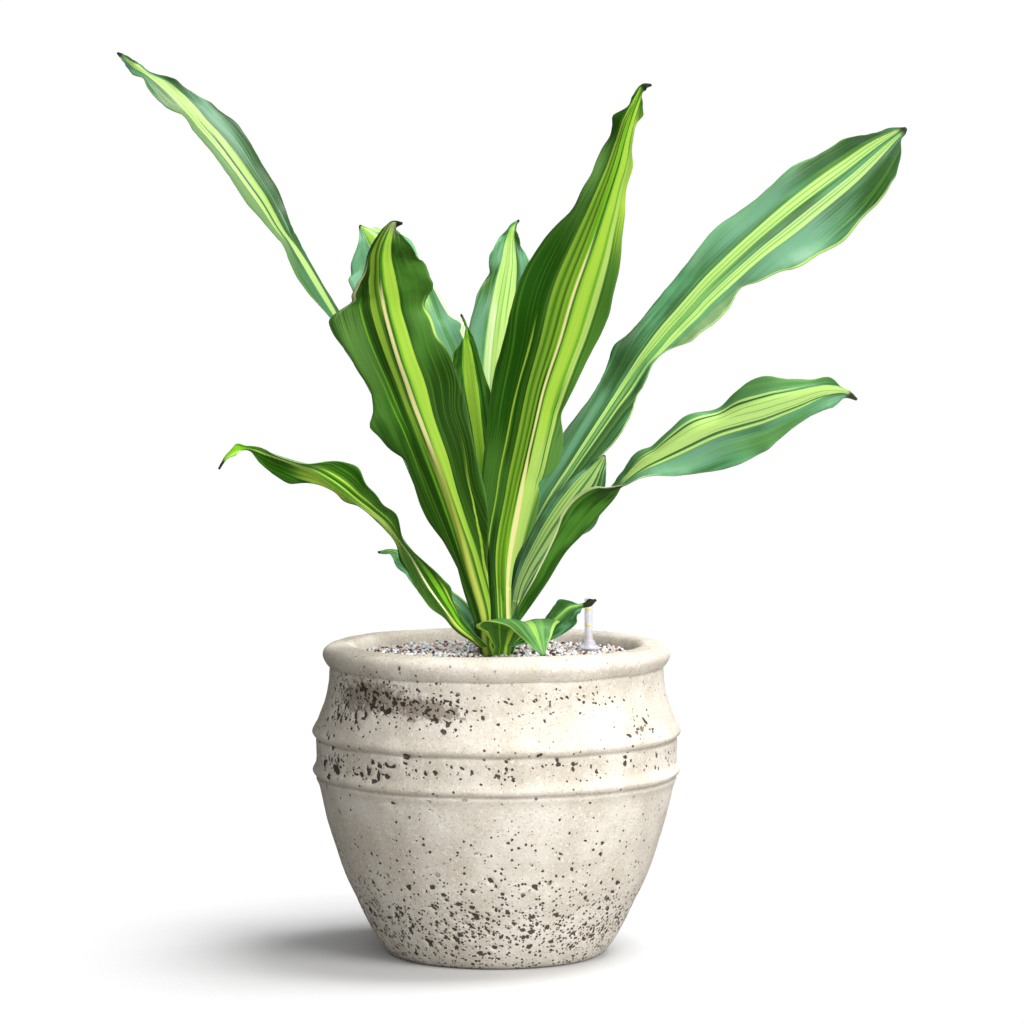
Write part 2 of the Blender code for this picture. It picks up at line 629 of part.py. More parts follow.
def build_leaf(leaf, parts, mat):
    """Build one blade: a loft of triangles, made a sheet of even thickness."""
    grid = leaf_grid(leaf)
    bm = bmesh.new()
    verts = [[bm.verts.new(point) for point in line] for line in grid]
    for lower, upper in zip(verts, verts[1:]):
        for column in range(len(lower) - 1):
            bm.faces.new((lower[column], lower[column + 1], upper[column + 1], upper[column]))
    bmesh.ops.triangulate(bm, faces=bm.faces[:])
    mesh = bpy.data.meshes.new(leaf.name)
    bm.to_mesh(mesh)
    bm.free()
    mesh.shade_smooth()
    obj = add_object(leaf.name, mesh, parts, mat)
    sheet = obj.modifiers.new("Blade", "SOLIDIFY")
    sheet.thickness = BLADE
    sheet.offset = 0.0


def main():
    """Build the whole plant."""
    clear_scene()
    parts = new_collection("potted_corn_plant")
    cutters = new_collection("cutters")
    build_planter(parts)
    build_culture_pot(parts, cutters)
    build_granules(parts, cutters)
    build_crown(parts)
    build_gauge(parts)
    for leaf in LEAVES:
        build_leaf(leaf, parts, material(leaf.name, (0.12, 0.33, 0.08), 0.4))


main()
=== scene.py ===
"""Potted corn plant in a turned stone planter: the looks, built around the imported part.

The blades, planter, grains, crown and gauge are finer pieces that stand for the part's solids and
keep their places.  Metres, +Z up, the front is -Y.  Leaf stations are in millimetres.
"""
import logging
import math
import random
from dataclasses import dataclass, field
from enum import Enum

import bpy
import numpy as np
from mathutils import Euler, Matrix, Vector, noise

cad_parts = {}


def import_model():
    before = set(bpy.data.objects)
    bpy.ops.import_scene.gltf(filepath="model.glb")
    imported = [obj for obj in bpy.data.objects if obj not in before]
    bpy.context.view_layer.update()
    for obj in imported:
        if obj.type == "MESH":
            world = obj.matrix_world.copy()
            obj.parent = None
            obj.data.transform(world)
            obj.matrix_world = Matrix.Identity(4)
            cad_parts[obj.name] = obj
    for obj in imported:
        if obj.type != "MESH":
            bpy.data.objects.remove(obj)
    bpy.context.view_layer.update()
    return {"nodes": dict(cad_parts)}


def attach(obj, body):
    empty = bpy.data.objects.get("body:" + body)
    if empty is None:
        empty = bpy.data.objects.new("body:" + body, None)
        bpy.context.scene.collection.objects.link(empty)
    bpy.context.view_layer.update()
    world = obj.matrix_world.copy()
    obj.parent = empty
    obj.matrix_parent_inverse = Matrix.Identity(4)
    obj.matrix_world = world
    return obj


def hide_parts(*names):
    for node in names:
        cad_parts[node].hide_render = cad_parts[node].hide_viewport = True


MM = 0.001
PLANT_BODY = "plant"
FLOAT_BODY = "float"

Colour = tuple[float, float, float]
Entry = bpy.types.NodeSocket | float | tuple

LOG = logging.getLogger("potted_plant")


# Wiring of materials and effects


class Bench:
    """Places and wires the nodes of one material or one node group."""

    def __init__(self, tree: bpy.types.NodeTree) -> None:
        """Work on a node tree."""
        self.tree = tree

    def node(self, kind: str, **settings: object) -> bpy.types.Node:
        """Add a node.

        Args:
            kind: Blender's name of the node type.
            **settings: properties to set on it.

        Returns:
            The new node.
        """
        made = self.tree.nodes.new(kind)
        for name, value in settings.items():
            setattr(made, name, value)
        return made

    def feed(self, entry: bpy.types.NodeSocket, value: Entry) -> None:
        """Link a socket to an entry, or set the entry's own value.

        Args:
            entry: the input socket.
            value: a socket, a number, or a colour of three numbers.
        """
        if isinstance(value, bpy.types.NodeSocket):
            self.tree.links.new(value, entry)
        elif isinstance(value, tuple) and entry.type == "RGBA":
            entry.default_value = (*value[:3], 1.0)
        else:
            entry.default_value = value

    def math(self, operation: str, first: Entry, second: Entry = 0.0) -> bpy.types.NodeSocket:
        """Return the outcome of a Math node on two values."""
        made = self.node("ShaderNodeMath", operation=operation)
        self.feed(made.inputs[0], first)
        self.feed(made.inputs[1], second)
        return made.outputs[0]

    def scaled(self, value: Entry, factor: Entry, offset: Entry = 0.0) -> bpy.types.NodeSocket:
        """Return value times factor plus offset."""
        made = self.node("ShaderNodeMath", operation="MULTIPLY_ADD")
        self.feed(made.inputs[0], value)
        self.feed(made.inputs[1], factor)
        self.feed(made.inputs[2], offset)
        return made.outputs[0]

    def mix(self, share: Entry, under: Entry, over: Entry, blend: str = "MIX") -> bpy.types.NodeSocket:
        """Return a colour between two colours.

        Args:
            share: how much of the second colour shows, 0 to 1.
            under: the first colour.
            over: the second colour.
            blend: Blender's name of the blending mode.

        Returns:
            The colour socket.
        """
        made = self.node("ShaderNodeMix", data_type="RGBA", blend_type=blend)
        self.feed(made.inputs[0], share)
        self.feed(made.inputs[6], under)
        self.feed(made.inputs[7], over)
        return made.outputs[2]

    def rise(self, value: Entry, low: Entry, high: Entry) -> bpy.types.NodeSocket:
        """Return a smooth step from 0 at low to 1 at high."""
        made = self.node("ShaderNodeMapRange", interpolation_type="SMOOTHSTEP")
        self.feed(made.inputs["Value"], value)
        self.feed(made.inputs["From Min"], low)
        self.feed(made.inputs["From Max"], high)
        return made.outputs[0]

    def place(self, x: Entry, y: Entry, z: Entry = 0.0) -> bpy.types.NodeSocket:
        """Return a vector made of three values."""
        made = self.node("ShaderNodeCombineXYZ")
        for entry, value in zip(made.inputs, (x, y, z)):
            self.feed(entry, value)
        return made.outputs[0]

    def noise(self, place: Entry, scale: Entry, detail: float = 2.0,
              roughness: float = 0.5) -> bpy.types.NodeSocket:
        """Return soft noise, about 0.5 on average.

        Args:
            place: the vector where it is read.
            scale: its features per unit of length.
            detail: how many finer layers it has.
            roughness: how strong the finer layers are.

        Returns:
            The noise value socket.
        """
        made = self.node("ShaderNodeTexNoise")
        self.feed(made.inputs["Vector"], place)
        self.feed(made.inputs["Scale"], scale)
        made.inputs["Detail"].default_value = detail
        made.inputs["Roughness"].default_value = roughness
        return made.outputs[0]

    def attribute(self, name: str) -> bpy.types.NodeSocket:
        """Return a value that the mesh carries."""
        made = self.node("ShaderNodeAttribute", attribute_type="GEOMETRY", attribute_name=name)
        return made.outputs["Fac"]

    def effect(self, tree: bpy.types.NodeTree, **values: Entry) -> bpy.types.Node:
        """Place a node group.

        Args:
            tree: the group.
            **values: its inputs by name, with underscores for spaces.

        Returns:
            The group node, whose outputs are read by name.
        """
        made = self.node("ShaderNodeGroup", node_tree=tree)
        for name, value in values.items():
            self.feed(made.inputs[name.replace("_", " ")], value)
        return made

    def bump(self, height: Entry, distance: float, strength: float = 1.0,
             under: bpy.types.NodeSocket | None = None) -> bpy.types.NodeSocket:
        """Return a normal bent by a height.

        Args:
            height: the height, 0 to 1.
            distance: how far 1 stands out, in metres.
            strength: the share of the bending that is used.
            under: a normal from a coarser bump.

        Returns:
            The normal socket.
        """
        made = self.node("ShaderNodeBump")
        made.inputs["Distance"].default_value = distance
        made.inputs["Strength"].default_value = strength
        self.feed(made.inputs["Height"], height)
        if under is not None:
            self.feed(made.inputs["Normal"], under)
        return made.outputs[0]


class Effect(Bench):
    """A shader node group that more than one material uses."""

    def __init__(self, name: str, entries: dict[str, float | tuple], exits: tuple[str, ...]) -> None:
        """Make the empty group.

        Args:
            name: the group's name.
            entries: its inputs with their usual values; a tuple makes a vector.
            exits: the names of its values that go out.
        """
        super().__init__(bpy.data.node_groups.new(name, "ShaderNodeTree"))
        for label, value in entries.items():
            kind = "NodeSocketVector" if isinstance(value, tuple) else "NodeSocketFloat"
            entry = self.tree.interface.new_socket(name=label, in_out="INPUT", socket_type=kind)
            entry.default_value = value
        for label in exits:
            self.tree.interface.new_socket(name=label, in_out="OUTPUT", socket_type="NodeSocketFloat")
        self.entry = self.node("NodeGroupInput").outputs
        self.exit = self.node("NodeGroupOutput").inputs


class Effects:
    """The shader node groups, each built once."""

    def __init__(self) -> None:
        """Build every group."""
        self.stripe = self.build_stripe()
        self.veins = self.build_veins()
        self.speckle = self.build_speckle()
        self.pits = self.build_pits()

    @staticmethod
    def build_stripe() -> bpy.types.NodeTree:
        """Build the mask of one stripe that runs along a blade.

        Returns:
            The node group.
        """
        entries = {"Across": 0.0, "Along": 0.5, "Centre": 0.0, "Low Centre": 0.0, "Half Width": 0.2,
                   "Low Half": 0.2, "Turn Start": 0.2, "Turn End": 0.65, "Start": -0.2, "End": 1.2,
                   "Fray": 0.02, "Soft": 0.014, "Seed": 0.0}
        it = Effect("blade_stripe", entries, ("Mask",))
        grown = it.rise(it.entry["Along"], it.entry["Turn Start"], it.entry["Turn End"])
        reach = it.math("SUBTRACT", it.entry["Centre"], it.entry["Low Centre"])
        centre = it.scaled(reach, grown, it.entry["Low Centre"])
        widening = it.math("SUBTRACT", it.entry["Half Width"], it.entry["Low Half"])
        half_width = it.scaled(widening, grown, it.entry["Low Half"])
        sway = it.noise(it.place(it.entry["Seed"], it.math("MULTIPLY", it.entry["Along"], 3.0)), 1.0)
        thread_place = it.place(it.math("MULTIPLY", it.entry["Across"], 34.0),
                                it.math("MULTIPLY", it.entry["Along"], 5.0), it.entry["Seed"])
        threads = it.noise(thread_place, 1.0, 3.0)
        wander = it.math("MULTIPLY", it.math("SUBTRACT", sway, 0.5), it.math("MULTIPLY", it.entry["Fray"], 2.0))
        middle = it.math("ADD", centre, wander)
        away = it.math("ABSOLUTE", it.math("SUBTRACT", it.entry["Across"], middle))
        ragged = it.math("MULTIPLY", it.math("SUBTRACT", threads, 0.5), it.math("MULTIPLY", it.entry["Fray"], 3.0))
        edge = it.math("SUBTRACT", it.math("ADD", away, ragged), half_width)
        soft = it.entry["Soft"]
        body = it.math("SUBTRACT", 1.0, it.rise(edge, it.math("MULTIPLY", soft, -1.0), soft))
        place = it.scaled(it.math("SUBTRACT", threads, 0.5), 0.16, it.entry["Along"])
        begun = it.rise(it.math("SUBTRACT", place, it.entry["Start"]), -0.05, 0.05)
        ended = it.rise(it.math("SUBTRACT", it.entry["End"], place), -0.04, 0.04)
        it.feed(it.exit["Mask"], it.math("MULTIPLY", body, it.math("MULTIPLY", begun, ended)))
        return it.tree

    @staticmethod
    def build_veins() -> bpy.types.NodeTree:
        """Build the fine lines that run along a blade or a sheath.

        Returns:
            The node group, which puts out a soft value and a crisp one.
        """
        it = Effect("blade_veins", {"Across": 0.0, "Along": 0.5, "Count": 20.0, "Seed": 0.0},
                    ("Soft", "Crisp"))
        place = it.place(it.math("MULTIPLY", it.entry["Across"], it.entry["Count"]),
                         it.math("MULTIPLY", it.entry["Along"], 1.6), it.entry["Seed"])
        soft = it.noise(place, 1.0, 2.0)
        it.feed(it.exit["Soft"], soft)
        it.feed(it.exit["Crisp"], it.rise(soft, 0.54, 0.64))
        return it.tree

    @staticmethod
    def build_speckle() -> bpy.types.NodeTree:
        """Build fine mineral grain: small spots of two kinds, and their height.

        Returns:
            The node group.
        """
        it = Effect("mineral_speckle", {"Place": (0.0, 0.0, 0.0), "Scale": 600.0, "Amount": 0.5},
                    ("Warm", "Pale", "Height"))
        fine = it.noise(it.entry["Place"], it.entry["Scale"], 2.0, 0.6)
        other = it.noise(it.entry["Place"], it.math("MULTIPLY", it.entry["Scale"], 0.63), 2.0, 0.6)
        limit = it.scaled(it.entry["Amount"], -0.16, 0.66)
        it.feed(it.exit["Warm"], it.rise(fine, limit, it.math("ADD", limit, 0.07)))
        it.feed(it.exit["Pale"], it.rise(other, limit, it.math("ADD", limit, 0.09)))
        it.feed(it.exit["Height"], it.math("ADD", it.math("MULTIPLY", fine, 0.6),
                                           it.math("MULTIPLY", other, 0.4)))
        return it.tree

    @staticmethod
    def build_pits() -> bpy.types.NodeTree:
        """Build small ragged pits, as many as the density asks for.

        Returns:
            The node group.
        """
        it = Effect("stone_pits", {"Place": (0.0, 0.0, 0.0), "Scale": 250.0, "Density": 0.3, "Size": 0.3},
                    ("Mask",))
        bend = it.node("ShaderNodeTexNoise")
        it.feed(bend.inputs["Vector"], it.entry["Place"])
        it.feed(bend.inputs["Scale"], it.math("MULTIPLY", it.entry["Scale"], 1.7))
        bend.inputs["Detail"].default_value = 2.0
        shift = it.node("ShaderNodeVectorMath", operation="MULTIPLY_ADD")
        it.feed(shift.inputs[0], bend.outputs["Color"])
        reach = it.math("DIVIDE", 0.75, it.entry["Scale"])
        it.feed(shift.inputs[1], it.place(reach, reach, reach))
        it.feed(shift.inputs[2], it.entry["Place"])
        cells = it.node("ShaderNodeTexVoronoi", feature="F1")
        it.feed(cells.inputs["Vector"], shift.outputs[0])
        it.feed(cells.inputs["Scale"], it.entry["Scale"])
        chance = it.node("ShaderNodeSeparateColor")
        it.feed(chance.inputs[0], cells.outputs["Color"])
        chosen = it.rise(it.math("SUBTRACT", it.entry["Density"], chance.outputs[0]), 0.0, 0.03)
        reach = it.math("MULTIPLY", it.entry["Size"], it.scaled(chance.outputs[1], 0.9, 0.45))
        inside = it.math("SUBTRACT", 1.0, it.rise(it.math("SUBTRACT", cells.outputs["Distance"], reach), -0.07, 0.05))
        it.feed(it.exit["Mask"], it.math("MULTIPLY", chosen, inside))
        return it.tree


def new_material(name: str) -> tuple[bpy.types.Material, Bench, bpy.types.Node]:
    """Start a material.

    Args:
        name: its name.

    Returns:
        The material, a bench for its nodes, and its Principled shader.
    """
    material = bpy.data.materials.new(name)
    material.use_nodes = True
    return material, Bench(material.node_tree), material.node_tree.nodes["Principled BSDF"]


# Finishes


@dataclass(frozen=True)
class StoneFinish:
    """Sandy grey-beige cast stone with brown grain and stains; its dark pits and the creases under its beads are
    painted shade.
    """

    light: Colour = (0.780, 0.725, 0.635)
    shade: Colour = (0.640, 0.580, 0.485)
    warm: Colour = (0.430, 0.285, 0.155)
    pale: Colour = (0.900, 0.870, 0.800)
    stain: Colour = (0.190, 0.150, 0.112)
    pit_shade: Colour = (0.034, 0.025, 0.018)

    def make(self, effects: Effects) -> bpy.types.Material:
        """Build the material.

        Args:
            effects: the shared node groups.

        Returns:
            The material.
        """
        material, it, shader = new_material("cast_stone")
        place = it.node("ShaderNodeTexCoord").outputs["Object"]
        pitting = it.attribute("pitting")
        crease_shade = it.attribute("crease")
        hollow = it.attribute("hollow")
        clouds = it.noise(place, 28.0, 4.0, 0.6)
        colour = it.mix(it.rise(clouds, 0.36, 0.66), self.shade, self.light)
        speckle = it.effect(effects.speckle, Place=place, Scale=620.0, Amount=0.55)
        colour = it.mix(it.math("MULTIPLY", speckle.outputs["Warm"], 0.42), colour, self.warm)
        colour = it.mix(it.math("MULTIPLY", speckle.outputs["Pale"], 0.55), colour, self.pale)
        smear = it.noise(place, 240.0, 4.0, 0.7)
        stained = it.rise(it.scaled(it.attribute("stain"), 0.42, it.math("MULTIPLY", smear, 0.75)), 0.52, 0.66)
        colour = it.mix(it.math("MULTIPLY", stained, 0.75), colour, self.stain)
        small = it.effect(effects.pits, Place=place, Scale=430.0, Density=pitting, Size=0.36)
        large = it.effect(effects.pits, Place=place, Scale=205.0, Density=it.math("MULTIPLY", pitting, 0.42), Size=0.34)
        ragged = it.scaled(smear, 0.9, it.math("SUBTRACT", hollow, 0.45))
        deep = it.rise(ragged, 0.42, 0.55)
        pits = it.math("MAXIMUM", it.math("MAXIMUM", small.outputs["Mask"], large.outputs["Mask"]), deep)
        # Painted shade: the fine, large and deep pits are filled with a near-black colour that stands for the shade
        # inside them.
        colour = it.mix(it.math("MULTIPLY", pits, 0.93), colour, self.pit_shade)
        # Painted shade: the stain colour darkens the stone in a thin line just under each bead and in the groove under
        # the lip.
        colour = it.mix(it.math("MULTIPLY", crease_shade, 0.45), colour, self.stain)
        it.feed(shader.inputs["Base Color"], colour)
        it.feed(shader.inputs["Roughness"], it.scaled(smear, 0.15, 0.82))
        grain = it.bump(speckle.outputs["Height"], 0.0006, 0.55)
        dents = it.bump(it.math("SUBTRACT", 1.0, pits), 0.0012, 0.8, grain)
        it.feed(shader.inputs["Normal"], dents)
        shader.inputs["Specular IOR Level"].default_value = 0.25
        return material


@dataclass(frozen=True)
class GravelFinish:
    """Loose mineral grains of one colour, powdery and a little mottled."""

    name: str
    light: Colour
    dark: Colour
    roughness: float = 0.85

    def make(self, effects: Effects) -> bpy.types.Material:
        """Build the material.

        Args:
            effects: the shared node groups.

        Returns:
            The material.
        """
        material, it, shader = new_material(self.name)
        place = it.node("ShaderNodeTexCoord").outputs["Object"]
        each = it.attribute("tone")
        speckle = it.effect(effects.speckle, Place=place, Scale=1500.0, Amount=0.4)
        colour = it.mix(each, self.dark, self.light)
        colour = it.mix(it.math("MULTIPLY", speckle.outputs["Warm"], 0.35), colour, self.dark)
        it.feed(shader.inputs["Base Color"], colour)
        it.feed(shader.inputs["Roughness"], it.scaled(each, -0.1, self.roughness))
        it.feed(shader.inputs["Normal"], it.bump(speckle.outputs["Height"], 0.0003, 0.5))
        shader.inputs["Specular IOR Level"].default_value = 0.3
        return material


class Tone(Enum):
    """Colours of the stripes on a blade: on its underside, and on its upper face."""

    LIME = ((0.370, 0.600, 0.055), (0.310, 0.520, 0.090))
    PALE = ((0.420, 0.620, 0.130), (0.380, 0.560, 0.150))
    FRESH = ((0.160, 0.440, 0.012), (0.125, 0.310, 0.065))
    DEEP = ((0.013, 0.080, 0.001), (0.018, 0.070, 0.010))
    RIB = ((0.760, 0.700, 0.300), (0.360, 0.600, 0.110))
    OCHRE = ((0.430, 0.500, 0.075), (0.230, 0.250, 0.040))
    CREAM = ((0.600, 0.640, 0.340), (0.620, 0.740, 0.390))
    DUSK = ((0.014, 0.056, 0.002), (0.022, 0.075, 0.020))
    LEAF = ((0.060, 0.180, 0.020), (0.070, 0.200, 0.055))
    # MIST's upper colour is a greyed green that stands partly for painted sheen; the tone after it is painted sheen,
    # the gloss of a leaf's upper face painted into its colour.
    MIST = ((0.098, 0.235, 0.045), (0.140, 0.240, 0.100))
    PAINTED_SHEEN = ((0.110, 0.260, 0.080), (0.110, 0.265, 0.155))


@dataclass(frozen=True)
class Stripe:
    """One stripe along a blade.

    Its middle lies at a share of the blade's usual half width, left of the rib below 0 and right
    above.  Low and low_half are its middle and half width near the foot, where those differ, and
    turn is the stretch of the blade where they change.  A stripe by the edge lies at a share of
    the way from rib to margin instead, so it follows every lobe.
    """

    tone: Tone
    centre: float
    half_width: float
    start: float = -0.3
    end: float = 1.3
    low: float | None = None
    low_half: float | None = None
    turn: tuple[float, float] = (0.18, 0.66)
    soft: float = 0.014
    by_edge: bool = False
    fray: float = 0.015


@dataclass(frozen=True)
class LeafFinish:
    """A living blade: two greens, its stripes, fine veins, a thin margin and a dry tip, with painted shade at its foot
    and a gain that paints how brightly it is lit.
    """

    name: str
    stripes: tuple[Stripe, ...]
    seed: float
    tip: float = 0.975
    fresh: float = 0.0
    light_gain: float = 1.0
    rim: float = 0.12
    under_dark: Colour = (0.013, 0.060, 0.003)
    under_light: Colour = (0.056, 0.180, 0.018)
    upper_dark: Colour = (0.030, 0.105, 0.028)
    upper_light: Colour = (0.085, 0.260, 0.110)
    young: Colour = (0.200, 0.440, 0.090)
    line: Colour = (0.150, 0.360, 0.030)
    margin: Colour = (0.330, 0.440, 0.180)
    dry: Colour = (0.014, 0.022, 0.006)

    def make(self, effects: Effects) -> bpy.types.Material:
        """Build the material.

        Args:
            effects: the shared node groups.

        Returns:
            The material.
        """
        material, it, shader = new_material(self.name)
        across = it.attribute("across")
        vein = it.attribute("vein")
        along = it.attribute("along")
        upper = it.attribute("upper")
        where = {"Across": vein, "Along": along}
        streaks = it.effect(effects.veins, **where, Count=9.0, Seed=self.seed)
        veins = it.effect(effects.veins, **where, Count=34.0, Seed=self.seed + 3.7)
        drift_place = it.place(it.math("MULTIPLY", vein, 1.6), it.math("MULTIPLY", along, 7.0), self.seed + 8.1)
        drift = it.noise(drift_place, 1.0, 2.0, 0.6)
        patch = it.rise(it.scaled(streaks.outputs["Soft"], 0.35, it.math("MULTIPLY", drift, 0.65)), 0.38, 0.62)
        under = it.mix(patch, self.under_dark, self.under_light)
        above = it.mix(patch, self.upper_dark, self.upper_light)
        colour = it.mix(upper, under, above)
        colour = it.mix(self.fresh, colour, self.young)
        colour = it.mix(it.math("MULTIPLY", veins.outputs["Crisp"], 0.07), colour, self.line)
        soft_line = it.math("MULTIPLY", it.rise(streaks.outputs["Soft"], 0.5, 0.66), 0.30)
        fine_line = it.math("MULTIPLY", veins.outputs["Crisp"], 0.22)
        line = it.math("MAXIMUM", soft_line, fine_line)
        for number, stripe in enumerate(self.stripes):
            low = stripe.centre if stripe.low is None else stripe.low
            low_half = stripe.half_width if stripe.low_half is None else stripe.low_half
            mask = it.effect(effects.stripe, Across=across if stripe.by_edge else vein, Along=along,
                             Centre=stripe.centre, Low_Centre=low, Half_Width=stripe.half_width,
                             Low_Half=low_half, Turn_Start=stripe.turn[0], Turn_End=stripe.turn[1],
                             Start=stripe.start, End=stripe.end, Fray=stripe.fray, Soft=stripe.soft,
                             Seed=self.seed + 1.3 * number)
            tint = it.mix(line, it.mix(upper, *stripe.tone.value), self.line)
            colour = it.mix(mask.outputs["Mask"], colour, tint)
        side = it.math("ABSOLUTE", across)
        colour = it.mix(it.math("MULTIPLY", it.rise(side, 0.955, 0.99), self.rim), colour, self.margin)
        # Painted shade: the colour darkens to the underside's dark green at the foot, where the sheaths sink among the
        # other leaf bases and the grains.
        foot = it.rise(it.math("MULTIPLY", along, -1.0), -0.02, 0.09)
        colour = it.mix(it.math("MULTIPLY", foot, 0.8), colour, self.under_dark)
        ragged = it.scaled(veins.outputs["Soft"], 0.02, along)
        colour = it.mix(it.rise(ragged, self.tip, self.tip + 0.02), colour, self.dry)
        # Painted light and shade: the whole colour is scaled by the leaf's gain, which stands for how much light
        # reaches it.
        colour = it.mix(1.0, colour, (self.light_gain, self.light_gain, self.light_gain), "MULTIPLY")
        it.feed(shader.inputs["Base Color"], colour)
        gloss = it.scaled(upper, -0.12, it.scaled(veins.outputs["Soft"], 0.16, 0.46))
        it.feed(shader.inputs["Roughness"], gloss)
        it.feed(shader.inputs["Coat Weight"], it.math("MULTIPLY", upper, 0.22))
        shader.inputs["Coat Roughness"].default_value = 0.34
        shader.inputs["Specular IOR Level"].default_value = 0.12
        it.feed(shader.inputs["Normal"], it.bump(veins.outputs["Soft"], 0.0005, 0.45))
        return material


@dataclass(frozen=True)
class SheathFinish:
    """Clasping leaf bases: dark green with thin lighter lines, paler at the side edges."""

    dark: Colour = (0.016, 0.058, 0.003)
    light: Colour = (0.105, 0.235, 0.014)
    foot: Colour = (0.330, 0.380, 0.120)

    def make(self, effects: Effects) -> bpy.types.Material:
        """Build the material.

        Args:
            effects: the shared node groups.

        Returns:
            The material.
        """
        material, it, shader = new_material("leaf_sheath")
        across = it.attribute("across")
        along = it.attribute("along")
        veins = it.effect(effects.veins, Across=across, Along=along, Count=9.0, Seed=4.0)
        colour = it.mix(it.rise(veins.outputs["Soft"], 0.42, 0.66), self.dark, self.light)
        colour = it.mix(it.math("MULTIPLY", it.rise(it.math("ABSOLUTE", across), 0.9, 1.0), 0.5), colour, self.foot)
        it.feed(shader.inputs["Base Color"], colour)
        it.feed(shader.inputs["Roughness"], it.scaled(veins.outputs["Soft"], 0.2, 0.4))
        it.feed(shader.inputs["Normal"], it.bump(veins.outputs["Soft"], 0.0006, 0.6))
        shader.inputs["Specular IOR Level"].default_value = 0.3
        return material


@dataclass(frozen=True)
class PlasticFinish:
    """Moulded plastic: its colour, a faint haze, its gloss, and how much it hides."""

    name: str
    colour: Colour
    haze: Colour
    roughness: float
    cover: float = 1.0

    def make(self, effects: Effects) -> bpy.types.Material:
        """Build the material.

        Args:
            effects: the shared node groups.

        Returns:
            The material.
        """
        material, it, shader = new_material(self.name)
        place = it.node("ShaderNodeTexCoord").outputs["Object"]
        speckle = it.effect(effects.speckle, Place=place, Scale=900.0, Amount=0.3)
        cloud = it.rise(it.noise(place, 160.0, 3.0), 0.4, 0.65)
        colour = it.mix(it.math("MULTIPLY", cloud, 0.6), self.colour, self.haze)
        it.feed(shader.inputs["Base Color"], colour)
        it.feed(shader.inputs["Roughness"], it.scaled(speckle.outputs["Height"], 0.12, self.roughness))
        it.feed(shader.inputs["Normal"], it.bump(speckle.outputs["Height"], 0.00012, 0.3))
        shader.inputs["IOR"].default_value = 1.49
        shader.inputs["Alpha"].default_value = self.cover
        return material


# Meshes


def shown(name: str, points: np.ndarray | list, faces: list, material: bpy.types.Material,
          body: str = PLANT_BODY, smooth: bool = True) -> bpy.types.Object:
    """Make a piece that rides on a body.

    Args:
        name: the piece's name.
        points: its vertices, in metres.
        faces: its faces as vertex numbers.
        material: its finish.
        body: the CAD body that it moves with.
        smooth: whether its faces are shaded smooth.

    Returns:
        The object.
    """
    mesh = bpy.data.meshes.new(name)
    mesh.from_pydata([tuple(point) for point in points], [], faces)
    mesh.validate()
    mesh.materials.append(material)
    if smooth:
        mesh.shade_smooth()
    piece = bpy.data.objects.new(name, mesh)
    bpy.context.scene.collection.objects.link(piece)
    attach(piece, body)
    return piece


def carry(piece: bpy.types.Object, name: str, values: np.ndarray) -> None:
    """Store one value for each vertex, which the finish reads by name."""
    layer = piece.data.attributes.new(name, "FLOAT", "POINT")
    layer.data.foreach_set("value", np.asarray(values, dtype=np.float32).ravel())


def grid_faces(rows: int, columns: int, closed: bool = False, first: int = 0) -> list[tuple[int, ...]]:
    """Return the quads of a grid of vertices.

    Args:
        rows: how many rows it has.
        columns: how many vertices each row has.
        closed: whether the last column joins the first.
        first: the number of its first vertex.

    Returns:
        The faces.
    """
    faces = []
    for row in range(rows - 1):
        for column in range(columns if closed else columns - 1):
            follower = (column + 1) % columns
            low = first + row * columns
            faces.append((low + column, low + follower, low + columns + follower, low + columns + column))
    return faces


def turned_points(profile: list[tuple[float, float]], steps: int, centre: tuple[float, float]) -> np.ndarray:
    """Return a profile of (radius, height) turned about an upright line.

    Args:
        profile: its points.
        steps: how many vertices go round.
        centre: the line's x and y.

    Returns:
        The vertices, row by row.
    """
    angles = np.arange(steps) * 2 * math.pi / steps
    rows = [np.stack([centre[0] + radius * np.cos(angles), centre[1] + radius * np.sin(angles),
                      np.full(steps, height)], axis=1) for radius, height in profile]
    return np.concatenate(rows)


def turned_piece(name: str, profile: list[tuple[float, float]], steps: int, centre: tuple[float, float],
                 material: bpy.types.Material, body: str = PLANT_BODY) -> bpy.types.Object:
    """Make a turned piece whose profile ends are small caps.

    Args:
        name: the piece's name.
        profile: (radius, height) points, from one end to the other.
        steps: how many vertices go round.
        centre: the axis's x and y.
        material: its finish.
        body: the CAD body that it moves with.

    Returns:
        The object.
    """
    points = turned_points(profile, steps, centre)
    rows = len(profile)
    faces = grid_faces(rows, steps, closed=True)
    if profile[0] != profile[-1]:
        faces.append(tuple(reversed(range(steps))))
        faces.append(tuple(range((rows - 1) * steps, rows * steps)))
    return shown(name, points, faces, material, body)


def facing_out(piece: bpy.types.Object) -> None:
    """Turn a closed piece's faces outwards."""
    import bmesh
    shell = bmesh.new()
    shell.from_mesh(piece.data)
    bmesh.ops.recalc_face_normals(shell, faces=shell.faces[:])
    shell.to_mesh(piece.data)
    shell.free()


